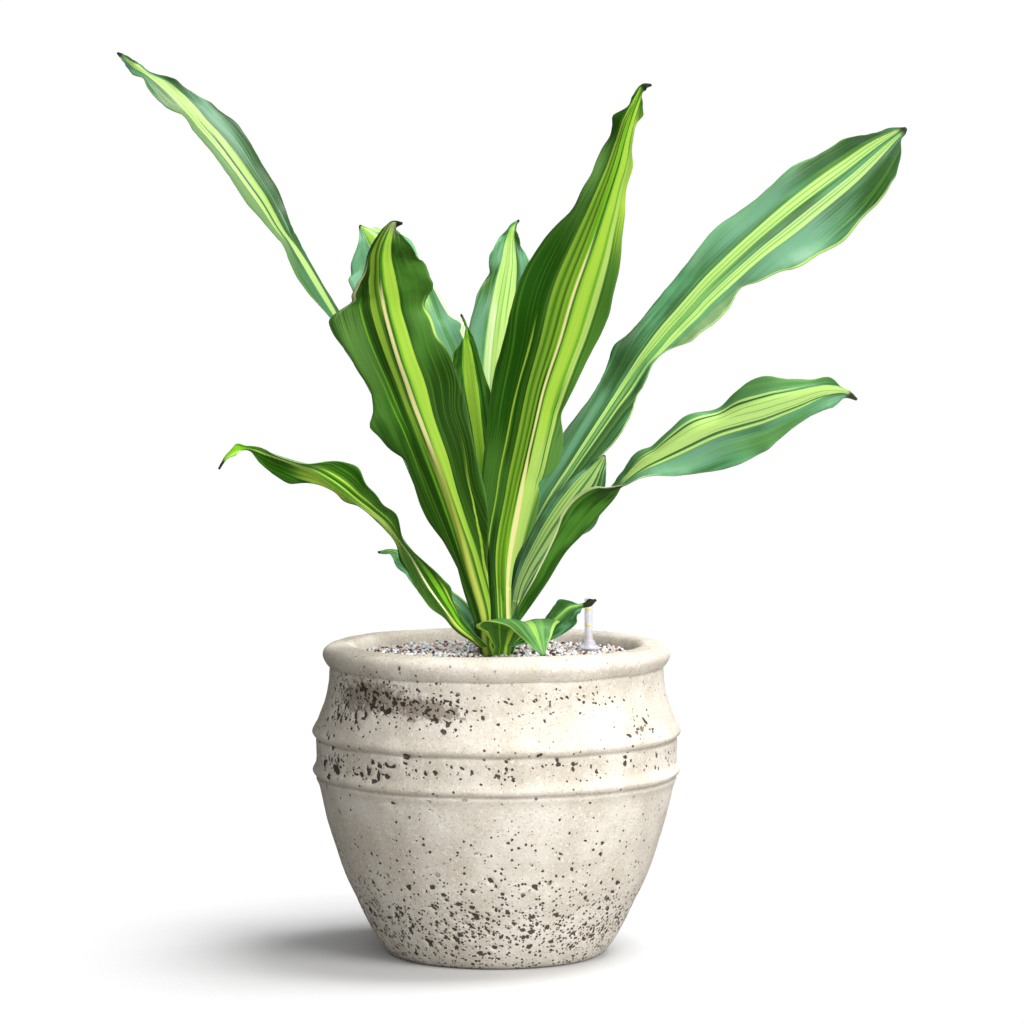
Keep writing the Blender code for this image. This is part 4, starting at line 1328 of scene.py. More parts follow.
def blades() -> list[Blade]:
    """Return the fourteen leaves, back to front where they overlap."""
    lime, pale, fresh, deep, leaf, mist = Tone.LIME, Tone.PALE, Tone.FRESH, Tone.DEEP, Tone.LEAF, Tone.MIST
    rib, ochre, cream, dusk, painted_sheen = Tone.RIB, Tone.OCHRE, Tone.CREAM, Tone.DUSK, Tone.PAINTED_SHEEN
    under = Upper.ALONG_NORMAL
    return [
        Blade("far_left", (3.0, 7, 0.0, 0.5), (
            (-6, 9, 232.2, 4, 4, 0, 0), (-22, 14, 279, 8, 8, -2, 3), (-52, 22, 342, 9, 9, -6, 6),
            (-83, 32, 399, 7, 7, -10, 10), (-104, 38, 432, 4, 4, -13, 13), (-116, 42, 455, 5, 2, -15, 15),
            (-141, 52, 496, 8, 3, -17, 17), (-155, 57, 512, 6, 6, -18, 17), (-171, 62, 538, 10, 11, -18, 17),
            (-193, 69, 566, 8, 13, -17, 17), (-213, 74, 586, 6, 14, -16, 15), (-229, 78, 603, 9, 11, -13, 11),
            (-247, 82, 620, 8, 4, -9, 7), (-260, 84, 629, 6, 2.5, -3, 2), (-267, 84, 634, 3, 2, 0, 0),
            (-273, 84, 638, 0.8, 0.8, 0, 0)),
            (Stripe(mist, -0.75, 0.45, 0.40, 0.78, soft=0.10), Stripe(dusk, 0.70, 0.42, 0.40, 0.80, soft=0.10),
             Stripe(painted_sheen, 0.60, 0.25, 0.60, 0.73, soft=0.12), Stripe(painted_sheen, -0.85, 0.35, 0.86, 0.92, soft=0.12),
             Stripe(pale, -0.20, 0.33, 0.46, 0.94, -0.27, 0.08, (0.58, 0.72)),
             Stripe(pale, 0.10, 0.10, 0.05, 0.78, 0.10, 0.20, (0.55, 0.70)),
             Stripe(dusk, -0.135, 0.030, 0.42, 0.68), Stripe(fresh, 0.24, 0.012, 0.44, 0.66), Stripe(fresh, -0.30, 0.016, 0.6, 0.9),
             Stripe(painted_sheen, 0.60, 0.035, 0.42, 0.62), Stripe(leaf, -0.95, 0.08, 0.3, 0.9, by_edge=True)),
            (Lobe(-1, 0.11, 0.03, 2.5), Lobe(-1, 0.27, 0.03, 2), Lobe(-1, 0.37, 0.03, 3.5, -2),
             Lobe(-1, 0.43, 0.03, -1.8), Lobe(-1, 0.70, 0.025, -4.2, 3), Lobe(-1, 0.82, 0.02, -3.2, 2),
             Lobe(1, 0.38, 0.03, -1.6), Lobe(1, 0.49, 0.05, 2.5, -2), Lobe(1, 0.62, 0.05, 5, 3),
             Lobe(1, 0.69, 0.02, 2), Lobe(1, 0.77, 0.02, 2.5, -2), Lobe(1, 0.82, 0.02, -1.8)),
            flow=((0.40, -0.20, 1.0), (0.45, 0.0, 1.0), (0.50, 0.05, 1.0), (0.55, 0.0, 1.0), (0.60, 0.06, 1.0),
                  (0.65, 0.22, 1.0), (0.70, 0.35, 1.0), (0.75, 0.42, 1.0), (0.80, 0.30, 1.0), (0.90, 0.10, 1.0)),
            tip=0.965, light_gain=0.86, seed=2.1, ruffle=1.2),
        Blade("back_left", (3.0, 5, 0.3, 0.0), (
            (-3, 4, 231.3, 4, 4, 0, 0), (-9, 9, 279, 10, 10, -1, 1), (-24, 22, 349, 21, 20, -3, 3),
            (-42, 38, 412, 27, 27, -4, 6), (-51, 45, 431, 28, 27, -4, 8), (-58, 51, 451, 31, 21, -3, 9),
            (-69, 62, 479, 36, 19, -3, 8), (-79, 69, 497, 33, 15, -3, 6), (-88, 74, 506, 22, 8, -2, 4),
            (-94, 76, 511, 9, 4, -1, 2), (-99, 77, 514, 0.8, 0.8, 0, 0)),
            (Stripe(painted_sheen, 0.0, 2.0, soft=0.1), Stripe(lime, -0.15, 0.28, 0.70, 1.2),
             Stripe(fresh, -0.32, 0.04, 0.3, 1.1), Stripe(leaf, 0.60, 0.05, 0.1, 0.9),
             Stripe(lime, 0.42, 0.10, 0.52, 1.0), Stripe(leaf, -0.80, 0.12, 0.2, 0.7, soft=0.08),
             Stripe(cream, 0.96, 0.03, 0.3, 0.8, by_edge=True)),
            (Lobe(-1, 0.78, 0.05, 3.5), Lobe(1, 0.42, 0.03, 4.5, -3), Lobe(1, 0.68, 0.04, 3, 2),
             Lobe(1, 0.76, 0.02, 3, -2), Lobe(1, 0.90, 0.05, -3), Lobe(1, 0.58, 0.03, -1.5, 2)),
            light_gain=1.5, seed=5.4, fresh=0.5, ruffle=1.1),
        Blade("young_centre", (1.0, 4, 0.0, 0.5), (
            (0, -1, 231, 4, 4, 0, 0), (-3, 0, 293, 9, 9, -1, -1), (-9, 1, 349, 14, 14, -2, -2),
            (-14, 2, 392, 17, 11, -2, -2), (-17, 3, 414, 16, 7, -2, -2), (-19, 3, 427, 11, 5.5, -1, -1),
            (-21, 2, 437, 1.6, 4, 0, 0), (-21, 2, 443, 1, 1, 0, 0), (-25, 2, 452, 0.8, 0.8, 0, 0)),
            (Stripe(lime, -0.19, 0.36, 0.1, 0.74, -0.12, 0.22, (0.25, 0.45)), Stripe(fresh, -0.56, 0.07, 0.48, 0.8, soft=0.03),
             Stripe(fresh, 0.10, 0.30, 0.72, 0.90, soft=0.1), Stripe(fresh, -0.10, 0.012, 0.2, 0.7), Stripe(deep, 0.32, 0.06, 0.3, 0.7, soft=0.04),
             Stripe(lime, -0.97, 0.03, 0.3, 0.6, by_edge=True)), light_gain=1.6, seed=7.7, tip=0.97, upper=under),
        Blade("back_centre", (3.0, 5, 0.2, 0.7), (
            (3, 11.3, 231, 3, 3, 0, 0), (1, 25, 293, 11, 12, -1, -1), (-2, 42, 357, 20, 20, -3, -3),
            (-1, 56, 411, 22, 24, -4, -4), (2, 66, 444, 21, 24, -4, -4), (5, 73, 469, 15, 24, -4, -4),
            (7, 78, 489, 12, 18, -3, -3), (10, 81, 504, 8, 7, -1, -1), (12, 83, 513, 2, 2, 0, 0),
            (16, 83, 518, 0.8, 0.8, 0, 0)),
            (Stripe(painted_sheen, -0.68, 0.25, 0.28, 0.52, soft=0.10), Stripe(deep, -0.72, 0.32, 0.52, 0.64, soft=0.06),
             Stripe(painted_sheen, -0.68, 0.22, 0.64, 0.71, soft=0.10), Stripe(pale, 0.04, 0.375, end=0.86),
             Stripe(lime, -0.02, 0.33, 0.76, 0.93, soft=0.06), Stripe(cream, -0.20, 0.09, -0.3, 0.50, soft=0.03),
             Stripe(fresh, 0.03, 0.014, 0.40, 0.80), Stripe(fresh, -0.09, 0.012, 0.3, 0.9), Stripe(fresh, 0.20, 0.02, 0.45, 0.9),
             Stripe(dusk, 0.47, 0.030, 0.55, 0.76), Stripe(painted_sheen, 0.75, 0.20, 0.50, 0.74, soft=0.08),
             Stripe(deep, 0.68, 0.30, 0.75, 1.0, soft=0.1)),
            (Lobe(-1, 0.53, 0.04, 1.8, -2), Lobe(-1, 0.61, 0.025, -2.4, 2), Lobe(-1, 0.68, 0.02, 0.8, -1),
             Lobe(1, 0.75, 0.02, -1.4), Lobe(-1, 0.9, 0.04, 0.8)),
            flow=((0.30, -0.05, 1.0), (0.50, -0.02, 1.0), (0.60, 0.03, 1.0), (0.65, 0.10, 1.0), (0.70, 0.08, 1.0),
                  (0.75, -0.02, 1.0), (0.85, -0.05, 1.0)),
            light_gain=1.3, seed=9.2, fresh=0.0),
        Blade("upper_right", (3.0, 6, 0.2, 0.6), (
            (9, 6.5, 231.3, 4, 4, 0, 0), (16, 13, 280, 9, 9, 1, -1), (33, 26, 317, 11, 12, 2, -2),
            (52, 38, 346, 15, 14, 4, -4), (80, 56, 387, 13, 18, 7, -6), (92, 64, 404, 15, 15, 8, -7),
            (104, 70, 421, 16, 10, 9, -8), (120, 78, 442, 15, 16, 10, -9), (137, 85, 460, 16, 25, 11, -9),
            (154, 92, 475, 20, 25, 12, -10), (188, 106, 504, 22, 28, 12, -10), (214, 115, 523, 22, 36, 12, -9),
            (240, 123, 540, 23, 38, 10, -8), (266, 131, 558, 19, 28, 8, -6), (285, 136, 572, 12, 15, 4, -3),
            (300, 138, 585, 1, 1, 0, 0)),
            (Stripe(dusk, -0.85, 0.45, 0.26, 0.42, soft=0.12), Stripe(painted_sheen, -0.70, 0.30, 0.64, 0.76, soft=0.14),
             Stripe(dusk, -0.75, 0.45, 0.79, 0.98, soft=0.10), Stripe(dusk, 0.60, 0.40, 0.18, 0.36, soft=0.12),
             Stripe(mist, 0.85, 0.30, 0.44, 0.61, soft=0.08), Stripe(painted_sheen, 0.75, 0.35, 0.64, 0.78, soft=0.12),
             Stripe(deep, 1.0, 0.42, 0.80, 0.98, soft=0.10), Stripe(painted_sheen, -0.80, 0.25, 0.16, 0.27, soft=0.12),
             Stripe(pale, -0.15, 0.145, 0.10, 1.2, -0.15, 0.10, (0.30, 0.45)),
             Stripe(fresh, 0.08, 0.075, 0.15, 0.62, soft=0.03), Stripe(dusk, 0.06, 0.020, 0.58, 0.98),
             Stripe(pale, 0.30, 0.115, 0.17, 1.2, 0.30, 0.05, (0.38, 0.48)),
             Stripe(dusk, -0.335, 0.030, 0.34, 0.62, soft=0.03), Stripe(dusk, -0.32, 0.020, 0.84, 0.97),
             Stripe(fresh, -0.19, 0.012, 0.3, 1.2), Stripe(fresh, -0.07, 0.016, 0.3, 1.2),
             Stripe(fresh, 0.31, 0.014, 0.45, 1.2), Stripe(fresh, 0.24, 0.010, 0.5, 1.0),
             Stripe(lime, 0.975, 0.018, 0.2, 0.9, by_edge=True)),
            (Lobe(-1, 0.38, 0.03, 3.8, -2), Lobe(-1, 0.64, 0.03, 3, -2), Lobe(-1, 0.77, 0.045, 4.4),
             Lobe(-1, 0.87, 0.04, 3.6), Lobe(-1, 0.97, 0.02, 2), Lobe(1, 0.24, 0.02, 1.8),
             Lobe(1, 0.32, 0.03, -1.8, 3), Lobe(1, 0.475, 0.03, 4, -4), Lobe(1, 0.62, 0.016, -5.5, 5),
             Lobe(1, 0.69, 0.025, 3.4, -3), Lobe(1, 0.82, 0.03, -3.6, 3), Lobe(1, 0.91, 0.02, 1, -2),
             Lobe(1, 0.97, 0.015, -3.5)), flow=((0.10, 0.21, 0.6), (0.20, 0.21, 0.62), (0.30, 0.22, 0.85), (0.40, 0.23, 1.05), (0.45, 0.27, 1.1),
                  (0.50, 0.26, 1.0), (0.55, 0.20, 1.0), (0.60, 0.12, 1.05), (0.65, 0.08, 1.0), (0.70, 0.03, 1.0),
                  (0.75, -0.02, 1.0), (0.80, -0.08, 1.0), (0.85, -0.12, 1.0), (0.90, -0.20, 1.05), (0.95, -0.30, 1.1)),
            tip=0.983, seed=11.6, ruffle=1.2),
        Blade("low_back", (1.5, 3, 0.0, 0.5), (
            (4, 14.1, 222, 4, 4, 0, 0), (8, 30, 238, 10, 12, 0, 0), (12, 55, 252, 14, 16, 0, 0),
            (17, 90, 266, 14, 14, 0, 0), (22, 125, 272, 9, 9, 0, 0), (26, 150, 268, 0.8, 0.8, 0, 0)),
            (Stripe(lime, 0.1, 0.22), Stripe(fresh, 0.06, 0.04)), across=(1.0, 0.0, 0.0), seed=13.9),
        Blade("low_back_left", (1.0, 3, 0.0, 0.5), (
            (-12.9, 7.9, 222, 2, 2, -3, 3), (-25, 14, 239, 6, 8, -3, 4), (-40, 20, 253, 7, 6, -5, 6),
            (-54, 27, 265, 8, 4, -6, 8), (-65, 33, 275, 8, 3, -6, 8), (-74, 38, 281, 3, 2, -3, 3),
            (-85, 42, 281, 0.8, 0.8, 0, 0)),
            (Stripe(fresh, -0.15, 0.10), Stripe(lime, 0.35, 0.08, 0.2, 0.95), Stripe(painted_sheen, 0.6, 0.2, 0.0, 0.6, soft=0.1),
             Stripe(lime, 0.93, 0.06, by_edge=True)),
            (Lobe(-1, 0.31, 0.11, 4.0), Lobe(-1, 0.60, 0.08, -2.2), Lobe(-1, 0.87, 0.03, -1.2),
             Lobe(1, 0.58, 0.16, 4.5)), light_gain=1.7, seed=15.3, ruffle=0.9),
        Blade("short_right", (1.5, 3, 0.0, 0.5), (
            (11, 2, 231.6, 4, 4, 0, 0), (18, 5, 262, 6, 8, 0, 0), (34, 10, 291, 11, 14, 2, -2),
            (52, 17, 317, 12, 23, 4, -3), (66, 25, 335, 8, 13, 4, -3), (73, 31, 345, 4, 6, 2, -2),
            (77, 33, 351, 0.8, 0.8, 0, 0)),
            (Stripe(pale, -0.30, 0.22), Stripe(pale, 0.18, 0.14), Stripe(fresh, -0.25, 0.03),
             Stripe(leaf, 0.0, 0.05), Stripe(fresh, -0.42, 0.025), Stripe(lime, 0.52, 0.05),
             Stripe(lime, 0.86, 0.03), Stripe(dusk, 0.68, 0.06)),
            (Lobe(1, 0.42, 0.03, -2), Lobe(1, 0.60, 0.03, 2)), light_gain=0.9, seed=17.8, fresh=0.0),
        Blade("front_right", (3.0, 5, 0.5, 0.1), (
            (5, -8, 231, 4, 4, 1, 1), (6, -14, 281, 11, 7, 3, 3), (15, -23, 327, 26, 16, 9, 6),
            (24, -34, 363, 32, 21, 12, 8), (32, -47, 400, 35, 19, 13, 9), (43, -60, 435, 37, 23, 13, 10),
            (52, -73, 468, 36, 26, 13, 11), (66, -87, 507, 27, 20, 10, 9), (79, -100, 548, 15, 12, 6, 6),
            (88, -108, 580, 10, 6, 4, 3), (95, -112, 598, 5, 4, 1, 1), (100, -113, 608, 2, 2, 0, 0),
            (105, -113, 609, 0.8, 0.8, 0, 0)),
            (Stripe(deep, -0.85, 0.38, 0.22, 0.57, soft=0.10), Stripe(mist, -0.75, 0.27, 0.62, 0.72, soft=0.08),
             Stripe(leaf, -0.95, 0.25, -0.3, 0.24, soft=0.12), Stripe(leaf, 0.88, 0.30, 0.30, 0.60, soft=0.03),
             Stripe(mist, 0.85, 0.30, 0.05, 0.30, soft=0.05), Stripe(lime, 0.80, 0.28, 0.60, 0.80, soft=0.04),
             Stripe(fresh, -0.19, 0.19, 0.05, 0.90), Stripe(lime, -0.395, 0.035, -0.3, 0.90), Stripe(lime, -0.235, 0.028, -0.3, 0.90),
             Stripe(lime, -0.115, 0.020, 0.1, 0.86), Stripe(leaf, -0.31, 0.016, 0.1, 0.8), Stripe(leaf, -0.165, 0.014, 0.2, 0.8),
             Stripe(deep, -0.055, 0.022, 0.15, 0.38), Stripe(lime, 0.22, 0.145, -0.3, 0.86), Stripe(fresh, 0.385, 0.028, 0.25, 0.80, soft=0.03),
             Stripe(pale, 0.475, 0.065, 0.18, 0.80, soft=0.02), Stripe(pale, 0.30, 0.18, -0.3, 0.26, soft=0.06),
             Stripe(leaf, 0.55, 0.014, 0.2, 0.6), Stripe(fresh, 0.10, 0.010, 0.3, 0.8), Stripe(leaf, 0.43, 0.020, 0.18, 0.36),
             Stripe(lime, -0.62, 0.020, -0.2, 0.43, -0.69, turn=(0.25, 0.42)),
             Stripe(rib, 0.0, 0.026, -0.3, 0.56, 0.08, 0.10, (0.10, 0.24), fray=0.004),
             Stripe(deep, 0.85, 0.40, 0.79, 0.9, soft=0.1), Stripe(deep, -0.85, 0.25, 0.73, 0.80, soft=0.1)),
            (Lobe(-1, 0.61, 0.025, -4.2, 3), Lobe(-1, 0.66, 0.02, -1.5), Lobe(-1, 0.73, 0.02, -2.5, 2),
             Lobe(-1, 0.77, 0.015, 2.4, -2), Lobe(-1, 0.81, 0.02, -2.2), Lobe(-1, 0.50, 0.04, 0.6, -3),
             Lobe(1, 0.125, 0.028, 4.4), Lobe(1, 0.19, 0.015, -5.5), Lobe(1, 0.235, 0.025, 2.6),
             Lobe(1, 0.30, 0.02, -3, 2), Lobe(1, 0.36, 0.03, 1.2, -2), Lobe(1, 0.47, 0.06, 3, -3),
             Lobe(1, 0.56, 0.03, 2), Lobe(1, 0.65, 0.02, -1.3, 2), Lobe(1, 0.69, 0.015, 1.6),
             Lobe(1, 0.80, 0.02, 3, -2), Lobe(1, 0.87, 0.02, -2.4)),
            flow=((0.05, 0.20, 1.9, 1.6), (0.10, 0.12, 1.65, 1.5), (0.15, 0.06, 1.2, 1.25), (0.20, 0.04, 1.1, 1.1),
                  (0.25, 0.0, 1.0), (0.30, 0.02, 1.0), (0.40, 0.02, 1.05), (0.50, 0.04, 1.15, 1.1), (0.60, 0.04, 1.25, 1.1),
                  (0.65, 0.06, 1.2), (0.70, 0.13, 1.3, 1.2), (0.75, 0.10, 1.4, 1.1), (0.85, 0.0, 1.2, 1.1)),
            upper=under, tip=0.90, seed=19.4),
        Blade("front_left", (3.0, 5, 0.0, 0.4), (
            (-9, -8, 231.1, 5, 5, 1, 1), (-11, -11, 243, 7, 7, 2, 1), (-20, -18, 276, 10, 14, 4, -2),
            (-28, -28, 311, 18, 23, 7, -4), (-39, -40, 346, 20, 27, 8, -2), (-53, -53, 380, 30, 34, 10, 4),
            (-62, -65, 410, 26, 33, 10, 8), (-69, -74, 431, 30, 31, 10, 10), (-76, -84, 457, 38, 29, 8, 12),
            (-78, -90, 469, 22, 32, 12, 12), (-79, -96, 481, 12, 33, 12, 10), (-79, -103, 495, 8, 27, 8, 8),
            (-76, -108, 506, 4.5, 16, 4, 5), (-70, -111, 516, 1.5, 5, 1, 2), (-63, -112, 516, 0.8, 0.8, 0, 0)),
            (Stripe(dusk, 0.72, 0.36, 0.0, 0.44, soft=0.14), Stripe(mist, -0.72, 0.26, 0.42, 0.58, soft=0.10),
             Stripe(leaf, 0.66, 0.20, 0.46, 0.62, soft=0.12), Stripe(leaf, 0.95, 0.22, 0.64, 0.9, soft=0.12),
             Stripe(dusk, -0.36, 0.04, 0.38, 0.86, soft=0.03), Stripe(dusk, -0.65, 0.40, -0.2, 0.32, soft=0.08),
             Stripe(lime, 0.22, 0.115, -0.3, 0.90, 0.24, 0.055, (0.15, 0.30)), Stripe(lime, -0.20, 0.065, 0.33, 0.90),
             Stripe(fresh, -0.06, 0.055, 0.58, 0.88), Stripe(lime, -0.02, 0.020, 0.60, 0.90),
             Stripe(leaf, -0.105, 0.020, 0.30, 0.90), Stripe(fresh, 0.095, 0.016, 0.30, 0.90),
             Stripe(fresh, -0.47, 0.018, 0.36, 0.60), Stripe(fresh, -0.60, 0.012, 0.30, 0.46),
             Stripe(lime, 0.78, 0.028, -0.2, 0.27, 0.36, turn=(0.13, 0.26)), Stripe(fresh, -0.26, 0.03, 0.16, 0.36),
             Stripe(ochre, -0.02, 0.12, -0.3, 0.31, soft=0.04), Stripe(rib, 0.0, 0.032, 0.28, 0.66, 0.0, 0.055, (0.3, 0.6), fray=0.004),
             Stripe(cream, 0.30, 0.50, 0.915, 0.955, soft=0.1), Stripe(cream, -0.92, 0.07, 0.62, 0.73, by_edge=True),
             Stripe(pale, 0.97, 0.03, 0.48, 0.57, by_edge=True)),
            (Lobe(-1, 0.16, 0.035, -3.0), Lobe(-1, 0.25, 0.04, 3.4, -2), Lobe(-1, 0.315, 0.016, -3.4, 2),
             Lobe(-1, 0.37, 0.012, 4.2, -3), Lobe(-1, 0.47, 0.05, 2.2), Lobe(-1, 0.575, 0.012, 1.5), Lobe(-1, 0.615, 0.02, -6, 3),
             Lobe(-1, 0.69, 0.02, 1.0, -2), Lobe(1, 0.50, 0.03, -1.6), Lobe(1, 0.557, 0.018, -2.4, 3), Lobe(1, 0.64, 0.04, 3.6, -2),
             Lobe(1, 0.86, 0.04, 6.5), Lobe(1, 0.93, 0.025, 3),
             Lobe(1, 0.45, 0.03, 0.8, -2)),
            flow=((0.05, 0.10, 1.2, 3.5), (0.10, 0.02, 1.0, 3.2), (0.15, 0.0, 1.0, 2.3), (0.20, -0.06, 1.0, 1.2),
                  (0.25, -0.05, 1.0, 0.86), (0.30, -0.05, 0.9, 1.0), (0.35, 0.02, 0.8, 0.92), (0.40, -0.03, 0.85, 1.18),
                  (0.45, -0.04, 0.95, 1.15), (0.50, -0.02, 1.0, 1.14), (0.60, 0.0, 1.1, 1.18), (0.65, -0.02, 1.3, 1.3),
                  (0.70, -0.03, 1.4, 1.36), (0.85, 0.0, 1.4, 1.3), (0.95, 0.1, 1.2, 1.0)),
            upper=under, tip=0.955, seed=21.5),
        Blade("lower_right", (2.5, 6, 0.2, 0.6), (
            (12, -5, 232.4, 3, 3, 1, -1), (19, -10, 242, 6, -5, 4, -4), (34, -16, 264, 9, -9, 8, -8),
            (48, -22, 287, 5, -12, 12, -9), (60, -27, 300, 7, -20, 14, -10), (72, -32, 314, 7, -21, 15, -12),
            (82, -36, 326, 6, -14, 16, -16), (88, -38, 336, 3, 1, 16, -18), (99, -41, 346, 8, 6, 16, -17),
            (112, -45, 356, 11, 16, 15, -14), (138, -52, 371, 14, 29, 12, -9), (161, -57, 381, 12, 31, 12, -8),
            (182, -61, 391, 17, 28, 10, -7), (208, -65, 398, 11, 17, 7, -5), (228, -68, 402, 9, 9, 3, -3),
            (240, -69, 401, 2.5, 4, 0, 0), (248, -70, 395, 0.8, 0.8, 0, 0)),
            (Stripe(painted_sheen, 0.78, 0.30, 0.46, 0.68, soft=0.12), Stripe(leaf, 0.95, 0.25, 0.68, 0.82, soft=0.12),
             Stripe(leaf, -0.78, 0.25, 0.5, 0.95, soft=0.08), Stripe(painted_sheen, 0.85, 0.25, 0.84, 1.0, soft=0.1),
             Stripe(pale, -0.01, 0.31, 0.43, 1.2), Stripe(dusk, 0.350, 0.028, 0.50, 0.86), Stripe(pale, 0.42, 0.040, 0.50, 0.86),
             Stripe(dusk, -0.365, 0.032, 0.48, 0.82), Stripe(pale, -0.44, 0.035, 0.50, 0.80),
             Stripe(fresh, 0.05, 0.015, 0.68, 0.92), Stripe(fresh, 0.25, 0.015, 0.66, 0.86), Stripe(fresh, -0.14, 0.012, 0.5, 0.8),
             Stripe(mist, -0.5, 0.55, 0.14, 0.40, soft=0.1), Stripe(leaf, 0.0, 0.14, 0.05, 0.40, soft=0.05),
             Stripe(cream, 0.97, 0.04, 0.1, 0.42, by_edge=True), Stripe(cream, 0.92, 0.08, 0.43, 0.50, by_edge=True)),
            (Lobe(-1, 0.44, 0.02, 1.4), Lobe(-1, 0.565, 0.03, -4.6, 3), Lobe(-1, 0.60, 0.02, -1.8), Lobe(-1, 0.67, 0.03, -3.2, 3),
             Lobe(-1, 0.77, 0.02, 2.2, -2), Lobe(-1, 0.85, 0.02, -2.4), Lobe(-1, 0.92, 0.02, -2.4, 1),
             Lobe(1, 0.57, 0.03, 1, -3), Lobe(1, 0.70, 0.02, -0.6, 3), Lobe(1, 0.90, 0.05, 4.6)),
            flow=((0.42, -0.12, 1.0), (0.50, -0.17, 1.0), (0.55, -0.12, 1.0), (0.60, -0.08, 1.0), (0.67, -0.12, 1.0),
                  (0.70, -0.05, 1.0), (0.75, 0.12, 1.0), (0.80, 0.10, 1.0), (0.85, 0.02, 1.0)),
            tip=0.955, light_gain=1.2, seed=23.3, ruffle=1.0),
        Blade("lower_left", (2.0, 5, 0.2, 0.6), (
            (-12.7, -7.9, 221, 2, 2.5, 3, -3), (-27, -14, 232, 3, 6, 3, -2), (-37, -20, 245, 3, 9, 5, -4),
            (-49, -27, 262, 7, 13, 8, -8), (-64, -35, 290, 4, 5, 14, -16), (-79, -42, 308, 3, 13, 15, -14),
            (-97, -48, 322, 2, 15, 16, -13), (-116, -54, 337, 5, 18, 15, -11), (-133, -59, 348, 11, 5, 13, -13),
            (-151, -63, 355, 12, 2, 9, -9), (-160, -65, 358, 8, 4, 5, -5), (-169, -66, 361, 2, 2, 2, -2),
            (-177, -67, 361, 1.5, 1.5, 0, 0), (-185, -67, 356, 1.2, 1.2, 0, 0), (-191, -67, 347, 0.8, 0.8, 0, 0)),
            (Stripe(leaf, 0.10, 0.9, 0.40, 0.60, soft=0.15), Stripe(lime, -0.42, 0.44, 0.44, 0.575, soft=0.04),
             Stripe(deep, -0.72, 0.50, 0.585, 0.78, soft=0.06), Stripe(pale, 0.0, 0.12, 0.56, 0.78, soft=0.04),
             Stripe(lime, 0.17, 0.030, 0.36, 0.58), Stripe(lime, 0.40, 0.040, 0.34, 0.56), Stripe(deep, 0.27, 0.035, 0.40, 0.56),
             Stripe(deep, 0.85, 0.30, 0.42, 0.56, soft=0.12), Stripe(mist, 0.55, 0.40, 0.56, 0.72, soft=0.1),
             Stripe(pale, -0.35, 0.50, 0.29, 0.42, soft=0.1), Stripe(leaf, -0.30, 0.05, 0.29, 0.44),
             Stripe(leaf, -0.45, 0.40, 0.08, 0.27, soft=0.1), Stripe(cream, 0.13, 0.05, 0.10, 0.27, fray=0.006),
             Stripe(deep, 0.28, 0.08, -0.3, 0.25, soft=0.03), Stripe(fresh, 0.58, 0.14, 0.05, 0.26, soft=0.05),
             Stripe(ochre, 0.12, 0.14, -0.3, 0.12, soft=0.05), Stripe(lime, 0.92, 0.07, 0.12, 0.20),
             Stripe(fresh, 0.0, 2.0, 0.80, 0.955), Stripe(pale, -0.75, 0.40, 0.82, 0.93, soft=0.12)),
            (Lobe(-1, 0.16, 0.03, 2.5), Lobe(-1, 0.27, 0.02, 3.6), Lobe(-1, 0.45, 0.02, 3),
             Lobe(-1, 0.59, 0.035, 3.8), Lobe(-1, 0.89, 0.03, 1.6), Lobe(1, 0.18, 0.02, 2.6),
             Lobe(1, 0.31, 0.03, -2.4), Lobe(1, 0.38, 0.02, -3), Lobe(1, 0.47, 0.02, 3.2), Lobe(1, 0.57, 0.04, -2), Lobe(1, 0.70, 0.04, -1.4),
             Lobe(1, 0.86, 0.03, 2.4)),
            upper=under, tip=0.955, light_gain=1.6, seed=25.1),
        Blade("short_front_right", (1.0, 2, 0.0, 0.5), (
            (16.2, -4, 221, 1, 1.5, 3, -3), (25, -9, 226, 5, 5, 0, 0), (36, -13, 231, 6, 8, 2, -2),
            (45, -16, 240, 9, 11, 4, -3), (52, -18, 246, 6, 9, 3, -3), (58, -19, 248, 1.5, 3, 0, 0),
            (64, -20, 249.5, 1.6, 1.8, 0, 0), (70, -21, 252.5, 0.8, 0.8, 0, 0)),
            (Stripe(fresh, -0.12, 0.17), Stripe(lime, -0.14, 0.08), Stripe(dusk, 0.30, 0.16, soft=0.06),
             Stripe(deep, -0.75, 0.30, 0.2, 0.7, soft=0.08)),
            (Lobe(-1, 0.40, 0.04, -1), Lobe(-1, 0.53, 0.04, 2.6), Lobe(1, 0.70, 0.03, 1.6),
             Lobe(-1, 0.90, 0.05, 1.6), Lobe(1, 0.90, 0.05, 1.0)),
            tip=0.78, light_gain=1.45, seed=27.2, ruffle=0.4),
        Blade("short_front", (1.0, 2, 0.0, 0.5), (
            (7, -14, 225, 3, 5, 0, 0), (12, -24, 233, 26, 15, 3, 3), (19, -36, 238, 26, 25, 7, 7),
            (24, -45, 236, 17, 17, 5, 4), (28, -51, 229, 11, 10, 2, 1), (31, -54, 222, 6, 4, 0, 0),
            (33, -55, 216.5, 0.8, 0.8, 0, 0)),
            (Stripe(leaf, -0.5, 0.3, 0.3, 0.8, soft=0.15), Stripe(lime, 0.05, 0.12), Stripe(fresh, -0.10, 0.03),
             Stripe(lime, 0.94, 0.07, by_edge=True), Stripe(lime, -0.95, 0.05, by_edge=True),
             Stripe(fresh, -0.55, 0.05), Stripe(fresh, 0.4, 0.08, 0.3, 0.9, soft=0.04)),
            upper=under, across=(1.0, 0.0, 0.0), light_gain=1.3, seed=29.6, fresh=0.25),
    ]


# The crown


